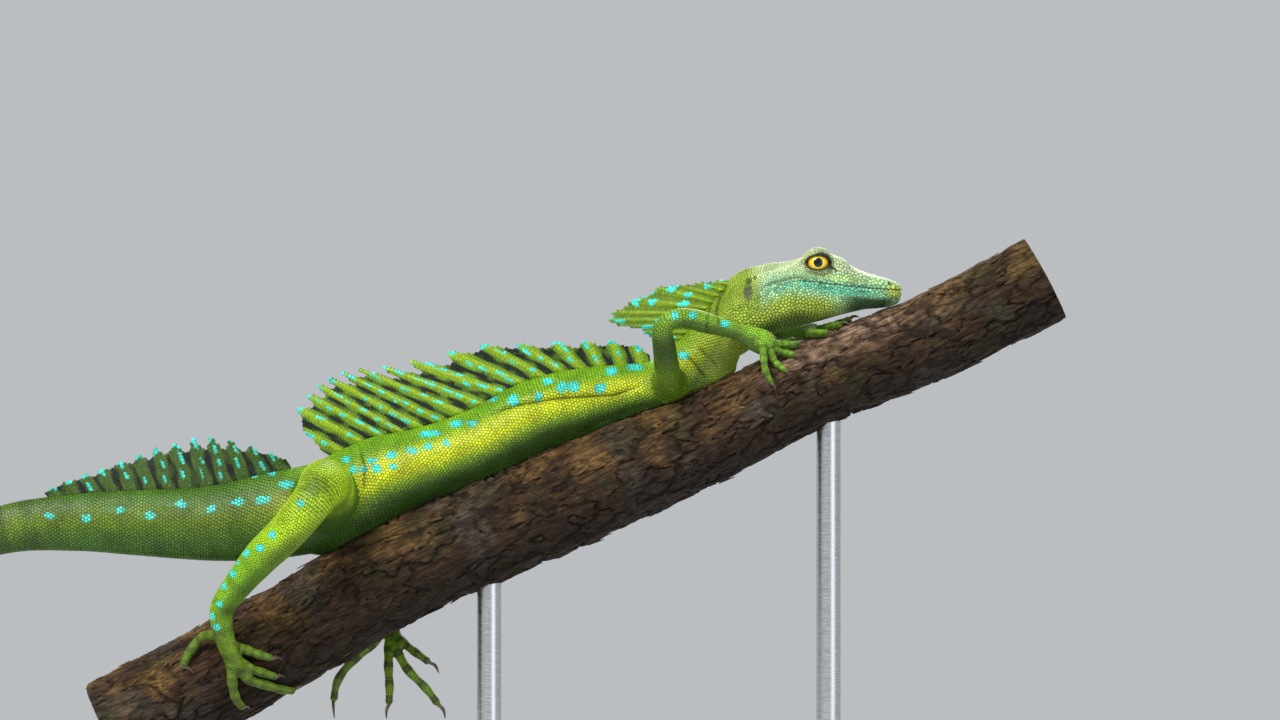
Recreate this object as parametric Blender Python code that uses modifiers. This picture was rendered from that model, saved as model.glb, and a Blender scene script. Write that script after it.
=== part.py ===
"""Green basilisk lying along a slanted branch, held up by a plain display stand.

Metres, +Z up. The head points to +X and the right side faces -Y. Tables of stations are in
millimetres, measured from a point on the branch below the shoulders, RISE above the floor.
"""
import math
import random

import bmesh
import bpy
from mathutils import Matrix, Vector

MM = 0.001
RISE = 0.430
GAP = 0.0003
RING = 20
LIMB_RING = 12
DIGIT_RING = 7

# Branch
BRANCH_RING = 20
BRANCH_STEPS = 24
BRANCH_START = -0.196
BRANCH_END = 0.150
BARK_SWELL = 0.022
BARK_SEED = 4
BARK_WAVES = 9
BARK_PACE = (12.0, 90.0)
BARK_STRENGTH = (0.3, 1.0)
BARK_EVEN = 2.5
BRANCH_ROWS = (
    # x, z, radius
    (-196.0, -138.0, 20.0),
    (-134.7, -104.6, 19.3),
    (-89.0, -78.2, 19.0),
    (-29.7, -52.0, 19.2),
    (22.3, -29.2, 17.8),
    (59.4, -10.9, 16.4),
    (111.3, 10.0, 16.2),
    (150.0, 30.5, 16.8),
)

# Stand
BASE_LENGTH = 0.280
BASE_WIDTH = 0.170
BASE_HEIGHT = 0.018
BASE_CENTRE_X = -0.020
BASE_CORNER = 0.030
BASE_EDGE = 0.003
BASE_EDGE_STEPS = 2
ROD_RADIUS = 0.0045
ROD_PLACES = (-0.056, 0.070)
ROD_RING = 16
BASE_CORNER_STEPS = 6
COLLAR_RADIUS = 0.011
COLLAR_HEIGHT = 0.006
COLLAR_EDGE = 0.001

# Trunk and neck: back line, belly line, sideways place and half width
TRUNK_ROWS = (
    # back x, back z, belly x, belly z, y, half width
    (-140.2, -42.3, -145.8, -74.6, 1.0, 9.2),
    (-121.7, -38.2, -126.1, -72.7, 0.0, 11.6),
    (-111.3, -33.4, -107.6, -68.3, 0.0, 13.0),
    (-99.4, -28.6, -87.2, -56.4, 0.0, 14.0),
    (-81.6, -24.9, -69.7, -48.8, 0.0, 14.2),
    (-63.1, -18.2, -51.4, -41.2, 0.0, 13.8),
    (-44.5, -8.5, -34.6, -33.0, 0.5, 13.0),
    (-31.2, -4.5, -24.6, -29.4, 1.0, 12.4),
    (-18.6, -2.6, -13.6, -26.0, 2.0, 11.8),
    (-6.7, -1.5, -1.5, -21.1, 3.0, 11.0),
    (3.7, -0.4, 10.4, -18.6, 3.0, 10.6),
    (10.4, 3.7, 20.0, -14.8, 3.0, 10.2),
    (18.6, 11.9, 28.9, -10.4, 2.0, 10.0),
    (26.7, 21.5, 34.0, -3.7, 1.0, 10.4),
    (34.9, 30.8, 35.2, 3.0, 0.0, 11.0),
)
BACK_RIDGE = 0.16
TRUNK_STEPS = 16
NECK_STEPS = 6

# Tail: middle line, half width and half depth, from the tip to the root
TAIL_ROWS = (
    # x, y, z, half width, half depth
    (-262.0, -8.0, -401.0, 0.7, 0.7),
    (-273.0, -7.0, -390.0, 1.0, 1.0),
    (-289.0, -5.0, -364.0, 1.3, 1.4),
    (-301.0, -2.0, -333.0, 1.6, 1.8),
    (-309.0, 2.0, -299.0, 1.9, 2.3),
    (-314.0, 6.0, -262.0, 2.2, 2.8),
    (-316.0, 10.0, -225.0, 2.5, 3.4),
    (-315.0, 13.0, -188.0, 2.8, 4.0),
    (-311.0, 15.0, -152.0, 3.2, 4.7),
    (-302.0, 15.0, -120.0, 3.6, 5.5),
    (-286.0, 14.0, -93.0, 4.0, 6.5),
    (-263.0, 12.0, -73.0, 4.5, 7.7),
    (-236.0, 9.0, -63.0, 5.0, 9.2),
    (-209.0, 6.0, -60.5, 5.7, 10.8),
    (-187.4, 4.0, -60.5, 6.5, 12.3),
    (-162.0, 2.0, -60.8, 7.9, 13.8),
)
# The station at which each length of the tail ends, from the tip, and its count of rings
TAIL_LENGTHS = (("tail_5", 0, 5, 6), ("tail_4", 5, 8, 4), ("tail_3", 8, 11, 6),
                ("tail_2", 11, 13, 4), ("tail_1", 13, 16, 6))
TRUNK_START = 16
NECK_START = 28

# Head: upright sections, all from the back of the head to the snout
HEAD_ROWS = (
    # x, top, ridge, brow z, mouth z, bottom, brow, side, lip, jaw half widths, mouth groove
    (35.2, 30.8, 2.0, 25.5, 19.0, 3.0, 7.2, 10.2, 11.0, 8.6, 0.0),
    (41.0, 34.0, 2.4, 28.5, 21.5, 5.8, 7.9, 11.0, 11.9, 9.2, 0.0),
    (48.0, 36.2, 2.4, 31.2, 25.5, 9.0, 8.6, 11.3, 12.3, 9.8, 0.0),
    (55.0, 36.8, 1.4, 33.0, 28.6, 11.6, 9.2, 11.0, 12.2, 10.1, 0.25),
    (60.0, 38.2, 0.4, 35.2, 29.1, 12.9, 9.7, 10.6, 11.9, 10.0, 0.60),
    (66.0, 39.8, -0.4, 38.3, 28.7, 14.4, 10.0, 10.2, 11.1, 9.6, 0.70),
    (71.5, 39.2, -0.3, 37.6, 28.0, 15.9, 8.8, 9.3, 10.1, 8.9, 0.70),
    (77.0, 35.9, 0.2, 34.2, 27.4, 17.3, 6.9, 8.1, 8.9, 7.9, 0.70),
    (83.0, 33.0, 0.2, 31.6, 26.8, 18.6, 5.5, 6.9, 7.7, 6.8, 0.70),
    (89.0, 31.2, 0.2, 30.0, 26.3, 20.0, 4.5, 5.7, 6.4, 5.5, 0.65),
    (93.5, 29.8, 0.1, 28.8, 26.0, 21.2, 3.5, 4.5, 5.1, 4.3, 0.55),
    (96.0, 28.4, 0.1, 27.8, 25.8, 22.5, 2.4, 3.1, 3.6, 2.9, 0.40),
    (97.0, 27.1, 0.0, 26.8, 25.6, 24.0, 1.2, 1.6, 1.9, 1.4, 0.20),
)
HEAD_STEPS = 26
LIP_HEIGHT = 1.0
EYE_PLACE = (65.8, 6.7, 36.0)
EYE_RADIUS = 0.0047
LID_THICK = 0.0008
EYE_OPEN_LENGTH = 0.0090
EYE_OPEN_HEIGHT = 0.0058
EYE_OPEN_STEPS = 18
EYE_OPEN_POINTED = 0.25
EYE_CUT = (0.0013, 0.012)
NOSTRIL_PLACE = (92.2, 4.3, 28.4)
NOSTRIL_SIZE = (0.00091, 0.0007, 0.0007)
EAR_PLACE = (39.9, 11.6, 25.0)
EAR_SIZE = (0.0012, 0.0012, 0.0026)

# Sails and rear crest: where each ray is rooted on the back, how long it is and how it leans
DORSAL_ROWS = (
    # root x, length, degrees from +X
    (-115.5, 3.0, 150.0),
    (-109.0, 21.0, 152.0),
    (-101.5, 27.5, 151.0),
    (-91.0, 34.5, 150.0),
    (-79.0, 40.0, 152.0),
    (-66.0, 41.0, 156.0),
    (-54.0, 37.0, 160.0),
    (-47.0, 31.0, 158.0),
    (-38.0, 25.0, 151.0),
    (-30.0, 18.5, 146.0),
    (-20.0, 12.5, 130.0),
    (-10.0, 10.0, 115.0),
    (-1.0, 7.5, 105.0),
    (4.0, 2.5, 100.0),
)
DORSAL_RAYS = 16
TAIL_SAIL_ROWS = (
    (-221.0, 1.6, 130.0),
    (-214.0, 4.5, 125.0),
    (-200.0, 8.0, 118.0),
    (-187.0, 12.0, 112.0),
    (-172.0, 16.5, 108.0),
    (-160.0, 18.5, 106.0),
    (-152.0, 17.5, 108.0),
    (-143.5, 13.5, 112.0),
    (-136.0, 9.0, 118.0),
    (-129.5, 3.0, 120.0),
)
TAIL_SAIL_RAYS = 13
CREST_ROWS = (
    (12.0, 2.0, 172.0),
    (14.5, 8.9, 178.0),
    (16.5, 14.6, 179.0),
    (18.0, 18.4, 178.0),
    (19.5, 29.0, 179.0),
    (21.0, 32.9, 178.6),
    (23.0, 32.3, 178.0),
    (25.0, 25.2, 172.0),
    (27.0, 17.8, 163.0),
    (29.0, 12.3, 164.5),
    (31.5, 5.7, 164.0),
    (33.5, 2.0, 170.0),
)
CREST_RAYS = 11
MEMBRANE = 0.30
RAY_ROOT = 0.85
RAY_TIP = 0.40
RAY_WIDTH = 0.85
RAY_SHARE = 0.3
ROOT_FLARE = 0.15
SCALLOP = 0.13
SCALLOP_BESIDE_RAY = 0.35
SLIT_SHARE = 0.1
SAIL_LEVELS = (0.0, 0.15, 0.55, 1.0)
SAIL_WAVE = 1.2
SAIL_WAVE_PACE = 0.06
SAIL_DROOP = 0.05

# Limbs: middle line, half width and half height, from the root in the trunk
ARM_RIGHT = (
    # x, y, z, half width, half height
    (11.0, 0.0, -9.5, 5.4, 5.4),
    (10.8, -8.0, -8.6, 5.2, 5.2),
    (9.8, -15.5, -2.0, 4.8, 4.6),
    (8.8, -21.2, 5.6, 4.3, 4.2),
    (8.2, -24.4, 10.4, 3.9, 3.9),
    (10.6, -26.2, 14.0, 3.5, 3.5),
    (15.6, -25.9, 15.5, 3.7, 3.6),
    (25.0, -21.2, 13.4, 3.8, 3.4),
    (35.5, -16.8, 10.4, 3.2, 2.6),
    (41.5, -15.2, 8.0, 4.5, 2.3),
    (46.0, -14.2, 6.0, 4.7, 2.1),
    (48.8, -13.6, 4.6, 3.8, 1.6),
)
ARM_LEFT = (
    (12.0, 4.0, -9.0, 5.4, 5.4),
    (13.0, 13.0, -6.5, 5.0, 5.0),
    (17.5, 20.5, -1.5, 4.6, 4.6),
    (23.5, 25.5, 3.5, 4.2, 4.2),
    (28.5, 27.2, 7.4, 4.0, 4.0),
    (33.5, 26.4, 10.2, 3.9, 3.9),
    (39.0, 23.6, 11.2, 3.8, 3.6),
    (46.5, 19.5, 10.8, 3.5, 3.2),
    (54.0, 15.0, 10.0, 3.0, 2.4),
    (59.0, 11.0, 9.7, 4.3, 2.1),
    (63.0, 8.0, 10.3, 4.3, 1.9),
    (65.8, 6.2, 11.1, 3.6, 1.5),
)
LEG_RIGHT = (
    (-117.0, -2.0, -52.0, 10.6, 10.6),
    (-116.0, -14.0, -50.2, 11.0, 11.0),
    (-115.0, -27.0, -48.8, 10.6, 10.6),
    (-114.8, -38.5, -47.2, 9.2, 9.2),
    (-116.0, -46.0, -49.0, 7.8, 7.8),
    (-119.8, -49.6, -54.4, 7.2, 7.2),
    (-126.2, -48.2, -62.0, 6.9, 7.0),
    (-135.0, -41.8, -71.8, 6.3, 6.5),
    (-144.0, -34.8, -81.5, 5.1, 5.3),
    (-152.0, -28.5, -91.0, 4.4, 4.4),
    (-153.0, -25.6, -98.5, 4.5, 3.8),
    (-151.2, -23.8, -105.5, 5.4, 3.0),
    (-149.0, -23.0, -111.0, 5.2, 2.4),
    (-147.8, -22.6, -114.0, 4.2, 1.9),
)
LEG_LEFT = (
    (-117.0, 2.0, -54.0, 10.4, 10.4),
    (-114.0, 13.0, -53.0, 10.6, 10.6),
    (-107.5, 25.0, -50.5, 9.8, 9.8),
    (-100.0, 35.0, -47.2, 8.2, 8.2),
    (-93.0, 41.6, -48.4, 7.0, 7.0),
    (-88.6, 43.8, -54.2, 6.4, 6.4),
    (-88.2, 42.2, -62.0, 6.3, 6.3),
    (-92.2, 38.0, -71.0, 6.0, 6.0),
    (-99.0, 32.0, -80.5, 5.0, 5.0),
    (-103.5, 28.0, -89.5, 4.2, 4.2),
    (-101.5, 25.5, -94.5, 4.6, 3.6),
    (-97.5, 22.5, -98.0, 5.0, 2.8),
    (-93.8, 19.5, -101.0, 4.6, 2.3),
    (-92.0, 18.0, -102.5, 3.6, 1.8),
)
JOINTS_ARM = (0, 5, 8, 11)
JOINTS_LEG = (0, 5, 9, 13)
LIMB_STEPS = (7, 6, 5)

# Digits: root in the palm in millimetres, then places over the bark as x, degrees round from
# the top toward the camera and lift; the last place is the tip of the claw
HAND_RIGHT = (
    ((45.0, -11.8, 6.6), ((48.5, 18.0, 4.2), (52.0, 12.0, 2.2), (55.5, 8.0, 1.7), (58.5, 6.0, 0.5))),
    ((47.5, -12.4, 5.4), ((51.5, 26.0, 3.6), (55.5, 24.0, 1.9), (59.0, 25.0, 1.6), (62.0, 27.0, 0.5))),
    ((48.0, -13.4, 5.2), ((51.5, 36.0, 3.4), (55.0, 40.0, 1.9), (57.5, 47.0, 1.6), (59.0, 55.0, 0.5))),
    ((47.4, -14.6, 5.2), ((49.5, 46.0, 3.2), (52.0, 54.0, 1.9), (54.0, 62.0, 1.6), (55.2, 70.0, 0.5))),
    ((45.0, -16.6, 6.4), ((46.0, 54.0, 4.4), (47.5, 63.0, 2.2), (49.0, 71.0, 1.7), (50.0, 79.0, 0.5))),
)
HAND_LEFT = (
    ((63.0, 7.0, 10.2), ((62.8, 8.0, 2.6), (66.5, 18.0, 1.8), (69.5, 28.0, 1.6), (72.0, 37.0, 0.5))),
    ((64.5, 6.2, 10.9), ((67.0, -4.0, 2.0), (71.0, 6.0, 1.7), (74.5, 14.0, 1.6), (77.5, 21.0, 0.5))),
    ((65.0, 6.6, 11.0), ((69.0, -12.0, 2.0), (74.0, -8.0, 1.7), (78.5, -4.0, 1.6), (81.5, -1.0, 0.5))),
    ((64.5, 7.6, 10.8), ((68.5, -27.0, 2.0), (73.5, -27.0, 1.7), (77.5, -26.0, 1.6), (80.5, -25.0, 0.5))),
    ((60.5, 11.6, 9.4), ((63.5, -44.0, 2.8), (67.0, -50.0, 1.8), (70.5, -55.0, 0.5))),
)
FOOT_RIGHT = (
    ((-149.0, -23.8, -105.0), ((-145.5, 80.0, 3.2), (-139.6, 92.0, 2.4), (-134.8, 102.0, 2.0),
                              (-131.2, 110.0, 0.6))),
    ((-148.5, -23.2, -109.0), ((-144.0, 97.0, 2.8), (-138.2, 110.0, 2.3), (-133.6, 121.0, 2.0),
                              (-130.6, 130.0, 0.6))),
    ((-148.6, -22.9, -112.0), ((-143.6, 108.0, 2.8), (-137.3, 123.0, 2.4), (-131.5, 139.0, 2.2),
                              (-127.9, 154.0, 2.0), (-124.6, 167.0, 0.8))),
    ((-150.0, -23.0, -111.5), ((-149.4, 108.0, 2.8), (-148.3, 121.0, 2.4), (-146.2, 134.0, 2.1),
                              (-143.8, 146.0, 0.6))),
    ((-153.5, -25.0, -101.0), ((-161.0, 52.0, 4.6), (-166.0, 57.0, 2.8), (-168.2, 66.0, 2.2),
                              (-163.6, 78.0, 0.6))),
)
# The toes of the left foot hang free below the branch, so they are given in x, y and z
FOOT_LEFT = (
    ((-94.5, 20.0, -100.0), ((-101.0, 16.5, -107.0), (-108.0, 14.0, -113.0), (-113.0, 12.0, -120.0),
                             (-114.5, 11.0, -128.0), (-114.0, 10.0, -134.0))),
    ((-93.5, 19.0, -101.0), ((-94.0, 16.5, -107.5), (-94.0, 13.5, -115.0), (-93.5, 11.5, -123.0),
                             (-93.8, 10.5, -129.0), (-94.5, 9.5, -134.0))),
    ((-93.0, 18.8, -101.3), ((-91.0, 15.5, -108.5), (-86.5, 13.0, -116.0), (-80.0, 11.5, -122.5),
                             (-75.0, 10.5, -129.0), (-72.7, 9.5, -134.0))),
    ((-92.5, 19.0, -101.0), ((-89.5, 16.0, -105.0), (-84.5, 13.0, -108.8), (-78.5, 11.0, -113.0),
                             (-75.0, 10.0, -117.0))),
    ((-99.0, 23.5, -97.0), ((-105.0, 23.5, -99.0), (-111.0, 22.0, -103.5), (-116.0, 20.0, -109.0))),
)
FINGER = 1.55
TOE = 2.1
DIGIT_TAPER = 0.72
CLAW = 0.50
CLAW_MIDDLE = 0.35
CLAW_TIP = 0.16
CLAW_STEP = 0.0002
PATH_STEP = 0.0002


def at(x, y, z):
    """A point given in millimetres from the middle of the perch."""
    return Vector((x * MM, y * MM, z * MM + RISE))


def row_at(rows, where):
    """Every column of the rows at a place along their first column, on a smooth cubic."""
    last = len(rows) - 1
    where = min(max(where, rows[0][0]), rows[last][0])
    i = 0
    while i < last - 1 and where > rows[i + 1][0]:
        i += 1
    before = rows[max(i - 1, 0)]
    start = rows[i]
    end = rows[i + 1]
    after = rows[min(i + 2, last)]
    span = end[0] - start[0]
    t = (where - start[0]) / span
    found = []
    for a, b, c, d in zip(before, start, end, after):
        leave = (c - a) / (end[0] - before[0]) * span
        arrive = (d - b) / (after[0] - start[0]) * span
        value = (2 * t ** 3 - 3 * t ** 2 + 1) * b + (t ** 3 - 2 * t ** 2 + t) * leave
        value += (3 * t ** 2 - 2 * t ** 3) * c + (t ** 3 - t ** 2) * arrive
        found.append(value)
    return found


def with_distance(rows, place):
    """The rows with the distance run so far put in front of each."""
    measured = []
    run = 0.0
    for i, row in enumerate(rows):
        if i:
            run += (place(row) - place(rows[i - 1])).length
        measured.append((run,) + tuple(row))
    return measured


# Materials
def material(name, colour, roughness, metallic=0.0):
    made = bpy.data.materials.new(name)
    made.use_nodes = True
    shader = made.node_tree.nodes["Principled BSDF"]
    shader.inputs["Base Color"].default_value = (*colour, 1.0)
    shader.inputs["Roughness"].default_value = roughness
    shader.inputs["Metallic"].default_value = metallic
    made.diffuse_color = (*colour, 1.0)
    return made


def add_mesh(name, work, slot, cutter=False):
    """A new object from a finished bmesh, in the part or among its cutters."""
    mesh = bpy.data.meshes.new(name)
    bmesh.ops.recalc_face_normals(work, faces=work.faces)
    work.to_mesh(mesh)
    work.free()
    made = bpy.data.objects.new(name, mesh)
    group = CUTTERS if cutter else PART
    group.objects.link(made)
    if cutter:
        made.hide_render = True
        made.display_type = "WIRE"
    else:
        mesh.materials.append(slot)
    return made


def make_object(name, vertices, faces, slot, cutter=False):
    """A new object from points and faces that a rule has worked out."""
    mesh = bpy.data.meshes.new("points")
    mesh.from_pydata([tuple(v) for v in vertices], [], faces)
    work = bmesh.new()
    work.from_mesh(mesh)
    bpy.data.meshes.remove(mesh)
    return add_mesh(name, work, slot, cutter)


def loft(name, rings, slot, cutter=False):
    """A closed body through rings of points that all have the same count."""
    count = len(rings[0])
    vertices = [point for ring in rings for point in ring]
    faces = []
    for i in range(len(rings) - 1):
        for k in range(count):
            n = (k + 1) % count
            faces.append((i * count + k, i * count + n, (i + 1) * count + n, (i + 1) * count + k))
    faces.append(tuple(range(count)))
    faces.append(tuple((len(rings) - 1) * count + k for k in range(count)))
    return make_object(name, vertices, faces, slot, cutter)


def finished_mesh(made):
    """The mesh of an object with its modifiers worked in."""
    bpy.context.view_layer.update()
    graph = bpy.context.evaluated_depsgraph_get()
    mesh = bpy.data.meshes.new_from_object(made.evaluated_get(graph), depsgraph=graph)
    made.modifiers.clear()
    made.data = mesh
    return made


def keep_largest(made):
    """Only the closed surface with the most room inside it stays."""
    work = bmesh.new()
    work.from_mesh(made.data)
    bmesh.ops.remove_doubles(work, verts=work.verts, dist=0.000005)
    work.faces.ensure_lookup_table()
    seen = set()
    shells = []
    for face in work.faces:
        if face.index in seen:
            continue
        shell = []
        stack = [face]
        seen.add(face.index)
        while stack:
            here = stack.pop()
            shell.append(here)
            for edge in here.edges:
                for other in edge.link_faces:
                    if other.index not in seen:
                        seen.add(other.index)
                        stack.append(other)
        shells.append(shell)
    shells.sort(key=lambda shell: sum(face.calc_area() for face in shell))
    for shell in shells[:-1]:
        bmesh.ops.delete(work, geom=shell, context="FACES")
    work.to_mesh(made.data)
    work.free()
    return made


def cut(made, *cutters):
    """The object with each closed cutter taken away, down to its largest piece."""
    for cutter in cutters:
        step = made.modifiers.new("cut", "BOOLEAN")
        step.operation = "DIFFERENCE"
        step.solver = "EXACT"
        step.object = cutter
        finished_mesh(made)
    return keep_largest(made)


def fuse(made, pieces):
    """The object joined with every closed piece, which is then removed."""
    gather = bpy.data.collections.new(made.name + "_pieces")
    bpy.context.scene.collection.children.link(gather)
    for piece in pieces:
        PART.objects.unlink(piece)
        gather.objects.link(piece)
    step = made.modifiers.new("fuse", "BOOLEAN")
    step.operation = "UNION"
    step.solver = "EXACT"
    step.operand_type = "COLLECTION"
    step.collection = gather
    finished_mesh(made)
    for piece in pieces:
        bpy.data.objects.remove(piece, do_unlink=True)
    bpy.data.collections.remove(gather)
    return keep_largest(made)


def smooth(made, degrees=40.0):
    made.data.shade_smooth()
    made.data.set_sharp_from_angle(angle=math.radians(degrees))
    return made


def sweep_rings(rows, places, count):
    """Rings at distances along (distance, x, y, z, across, along) rows, turned with the path."""
    rings = []
    across = None
    for where in places:
        row = row_at(rows, where)
        ahead = row_at(rows, where + PATH_STEP)
        behind = row_at(rows, where - PATH_STEP)
        run = (Vector(ahead[1:4]) - Vector(behind[1:4])).normalized()
        if across is None:
            across = run.cross(Vector((0.0, 0.0, 1.0)))
            if across.length < 0.3:
                across = run.cross(Vector((1.0, 0.0, 0.0)))
        across = (across - run * across.dot(run)).normalized()
        along = run.cross(across)
        ring = []
        for k in range(count):
            turn = math.tau * k / count
            ring.append(Vector(row[1:4]) + across * math.cos(turn) * row[4]
                        + along * math.sin(turn) * row[5])
        rings.append(ring)
    return rings


def places_between(start, end, steps):
    return [start + (end - start) * i / steps for i in range(steps + 1)]


def swept_rows(points):
    """Rows for sweep_rings from (x, y, z, half width, half height) in millimetres."""
    rows = []
    for x, y, z, wide, high in points:
        rows.append((*at(x, y, z), wide * MM, high * MM))
    return with_distance(rows, lambda row: Vector(row[:3]))


# Branch
BRANCH = tuple((x * MM, z * MM + RISE, radius * MM) for x, z, radius in BRANCH_ROWS)


def bark(x, turn):
    """How far the bark swells or sinks at a place, as a share of the radius."""
    chance = random.Random(BARK_SEED)
    total = 0.0
    for _ in range(BARK_WAVES):
        waves = chance.uniform(*BARK_PACE)
        round_it = chance.randint(1, 5)
        strength = chance.uniform(*BARK_STRENGTH)
        start = chance.uniform(0.0, math.tau)
        total += strength * math.sin(waves * x * math.tau + round_it * turn + start)
    return 1.0 + BARK_SWELL * total / BARK_EVEN


def branch_point(x, turn, lift=0.0):
    """A point over the bark: turn is 0 on top and grows toward the camera, in radians."""
    _, z, radius = row_at(BRANCH, x)
    ahead = row_at(BRANCH, min(x + 0.001, BRANCH_END))
    behind = row_at(BRANCH, max(x - 0.001, BRANCH_START))
    run = Vector((ahead[0] - behind[0], 0.0, ahead[1] - behind[1])).normalized()
    up = Vector((-run.z, 0.0, run.x))
    side = Vector((0.0, -1.0, 0.0))
    reach = radius * bark(x, turn) + lift
    return Vector((x, 0.0, z)) + (up * math.cos(turn) + side * math.sin(turn)) * reach


def over_bark(x, turn, lift):
    """The point over the bark whose own x is the one asked for."""
    along = x
    for _ in range(6):
        along += x - branch_point(along, turn, lift).x
    return branch_point(along, turn, lift)


def branch_rings(grow=0.0):
    rings = []
    for i in range(BRANCH_STEPS + 1):
        x = BRANCH_START + (BRANCH_END - BRANCH_START) * i / BRANCH_STEPS
        if grow and i in (0, BRANCH_STEPS):
            x += grow * (1 if i else -1)
        ring = []
        for k in range(BRANCH_RING):
            ring.append(branch_point(x, math.tau * k / BRANCH_RING, grow))
        rings.append(ring)
    return rings


# Trunk, neck and tail share one run of stations
def body_rows():
    rows = []
    for i, (x, y, z, wide, deep) in enumerate(TAIL_ROWS):
        after = TAIL_ROWS[min(i + 1, len(TAIL_ROWS) - 1)]
        before = TAIL_ROWS[max(i - 1, 0)]
        run = Vector((after[0] - before[0], 0.0, after[2] - before[2])).normalized()
        up = Vector((-run.z, 0.0, run.x)) * deep
        rows.append((x + up.x, z + up.z, x - up.x, z - up.z, y, wide))
    rows.extend(TRUNK_ROWS)
    scaled = []
    for back_x, back_z, belly_x, belly_z, y, wide in rows:
        scaled.append((back_x * MM, back_z * MM + RISE, belly_x * MM, belly_z * MM + RISE,
                       y * MM, wide * MM))
    return with_distance(scaled, lambda row: Vector((row[0] + row[2], 0.0, row[1] + row[3])) / 2)


def head_half(row, grow=0.0):
    """Half a head section from the crown round to the throat, as (sideways, up)."""
    _, top, ridge, brow_z, mouth, bottom, brow, side, lip, jaw, groove = row
    crown = top - ridge
    return (
        (0.0, top + grow),
        (0.42 * brow + grow * 0.4, crown - 0.10 * (crown - brow_z) + grow),
        (0.80 * brow + grow * 0.7, crown - 0.46 * (crown - brow_z) + grow * 0.8),
        (brow + grow, brow_z + grow * 0.4),
        (side + grow, 0.5 * (brow_z + mouth) + 0.3),
        (lip + grow, mouth + LIP_HEIGHT),
        (lip - groove + grow, mouth),
        (lip - 0.15 - 0.1 * groove + grow, mouth - LIP_HEIGHT),
        (0.55 * lip + 0.45 * jaw + grow, 0.45 * mouth + 0.55 * bottom),
        (0.66 * jaw + grow * 0.6, bottom + 0.13 * (mouth - bottom) - grow * 0.8),
        (0.0, bottom - grow),
    )


def head_ring(x, grow=0.0):
    half = head_half(row_at(HEAD_ROWS, x), grow / MM)
    round_it = list(half) + [(-y, z) for y, z in reversed(half[1:-1])]
    return [at(x, y, z) for y, z in round_it]


def head_rings(grow=0.0, start=HEAD_ROWS[0][0] + GAP / MM):
    rings = []
    end = HEAD_ROWS[-1][0]
    for i in range(HEAD_STEPS + 1):
        t = i / HEAD_STEPS
        rings.append(head_ring(start + (end - start) * t ** 0.92, grow))
    if grow:
        rings.append([point + Vector((grow, 0.0, 0.0)) for point in rings[-1]])
    return rings


BODY = body_rows()


def head_back_shape():
    """The back of the head as shares of the last neck station's depth and width."""
    row = BODY[-1]
    middle = (row[2] + row[4]) / 2
    deep = (row[2] - row[4]) / 2
    return [((p.z - middle) / deep, p.y / row[6]) for p in head_ring(HEAD_ROWS[0][0])]


HEAD_BACK = head_back_shape()
NECK_RUN = (BODY[NECK_START - 2][0], BODY[-1][0])


def body_ring(where, grow=0.0):
    """The section of trunk, neck or tail at a distance from the tip of the tail."""
    _, back_x, back_z, belly_x, belly_z, y, wide = row_at(BODY, where)
    back = Vector((back_x, y, back_z))
    belly = Vector((belly_x, y, belly_z))
    middle = (back + belly) / 2
    up = (back - belly).normalized()
    deep = (back - belly).length / 2
    t = min(max((where - NECK_RUN[0]) / (NECK_RUN[1] - NECK_RUN[0]), 0.0), 1.0)
    share = t * t * (3.0 - 2.0 * t)
    ring = []
    for k in range(RING):
        turn = math.tau * k / RING
        out = math.cos(turn)
        across = math.sin(turn) * (1.0 - BACK_RIDGE * max(out, 0.0) ** 1.5)
        out += (HEAD_BACK[k][0] - out) * share
        across += (HEAD_BACK[k][1] - across) * share
        ring.append(middle + up * (deep + grow) * out
                    + Vector((0.0, 1.0, 0.0)) * (wide + grow) * across)
    return ring


def body_rings(first, last, steps, grow=0.0):
    start = BODY[first][0] + (GAP / 2 if first else 0.0)
    end = BODY[last][0] - (GAP / 2 if last < len(BODY) - 1 else 0.0)
    return [body_ring(start + (end - start) * i / steps, grow) for i in range(steps + 1)]


def body_plan():
    """Each length of the body with the stations it runs between and its count of steps."""
    plan = [(name, first, last, steps) for name, first, last, steps in TAIL_LENGTHS]
    plan.append(("torso", TRUNK_START, NECK_START, TRUNK_STEPS))
    plan.append(("neck", NECK_START, len(BODY) - 1, NECK_STEPS))
    return plan


def back_line():
    """The top of every ring of the body, from the tip of the tail to the head."""
    line = []
    for _, first, last, steps in body_plan():
        line.extend(ring[0] for ring in body_rings(first, last, steps))
    return line


def back_at(line, x):
    """The point of the back line over x and the direction square to it."""
    for a, b in zip(line, line[1:]):
        if a.x <= x <= b.x and b.x > a.x:
            t = (x - a.x) / (b.x - a.x)
            run = (b - a).normalized()
            return a + (b - a) * t, Vector((-run.z, 0.0, run.x))
    raise ValueError("no back at " + str(x))


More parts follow.
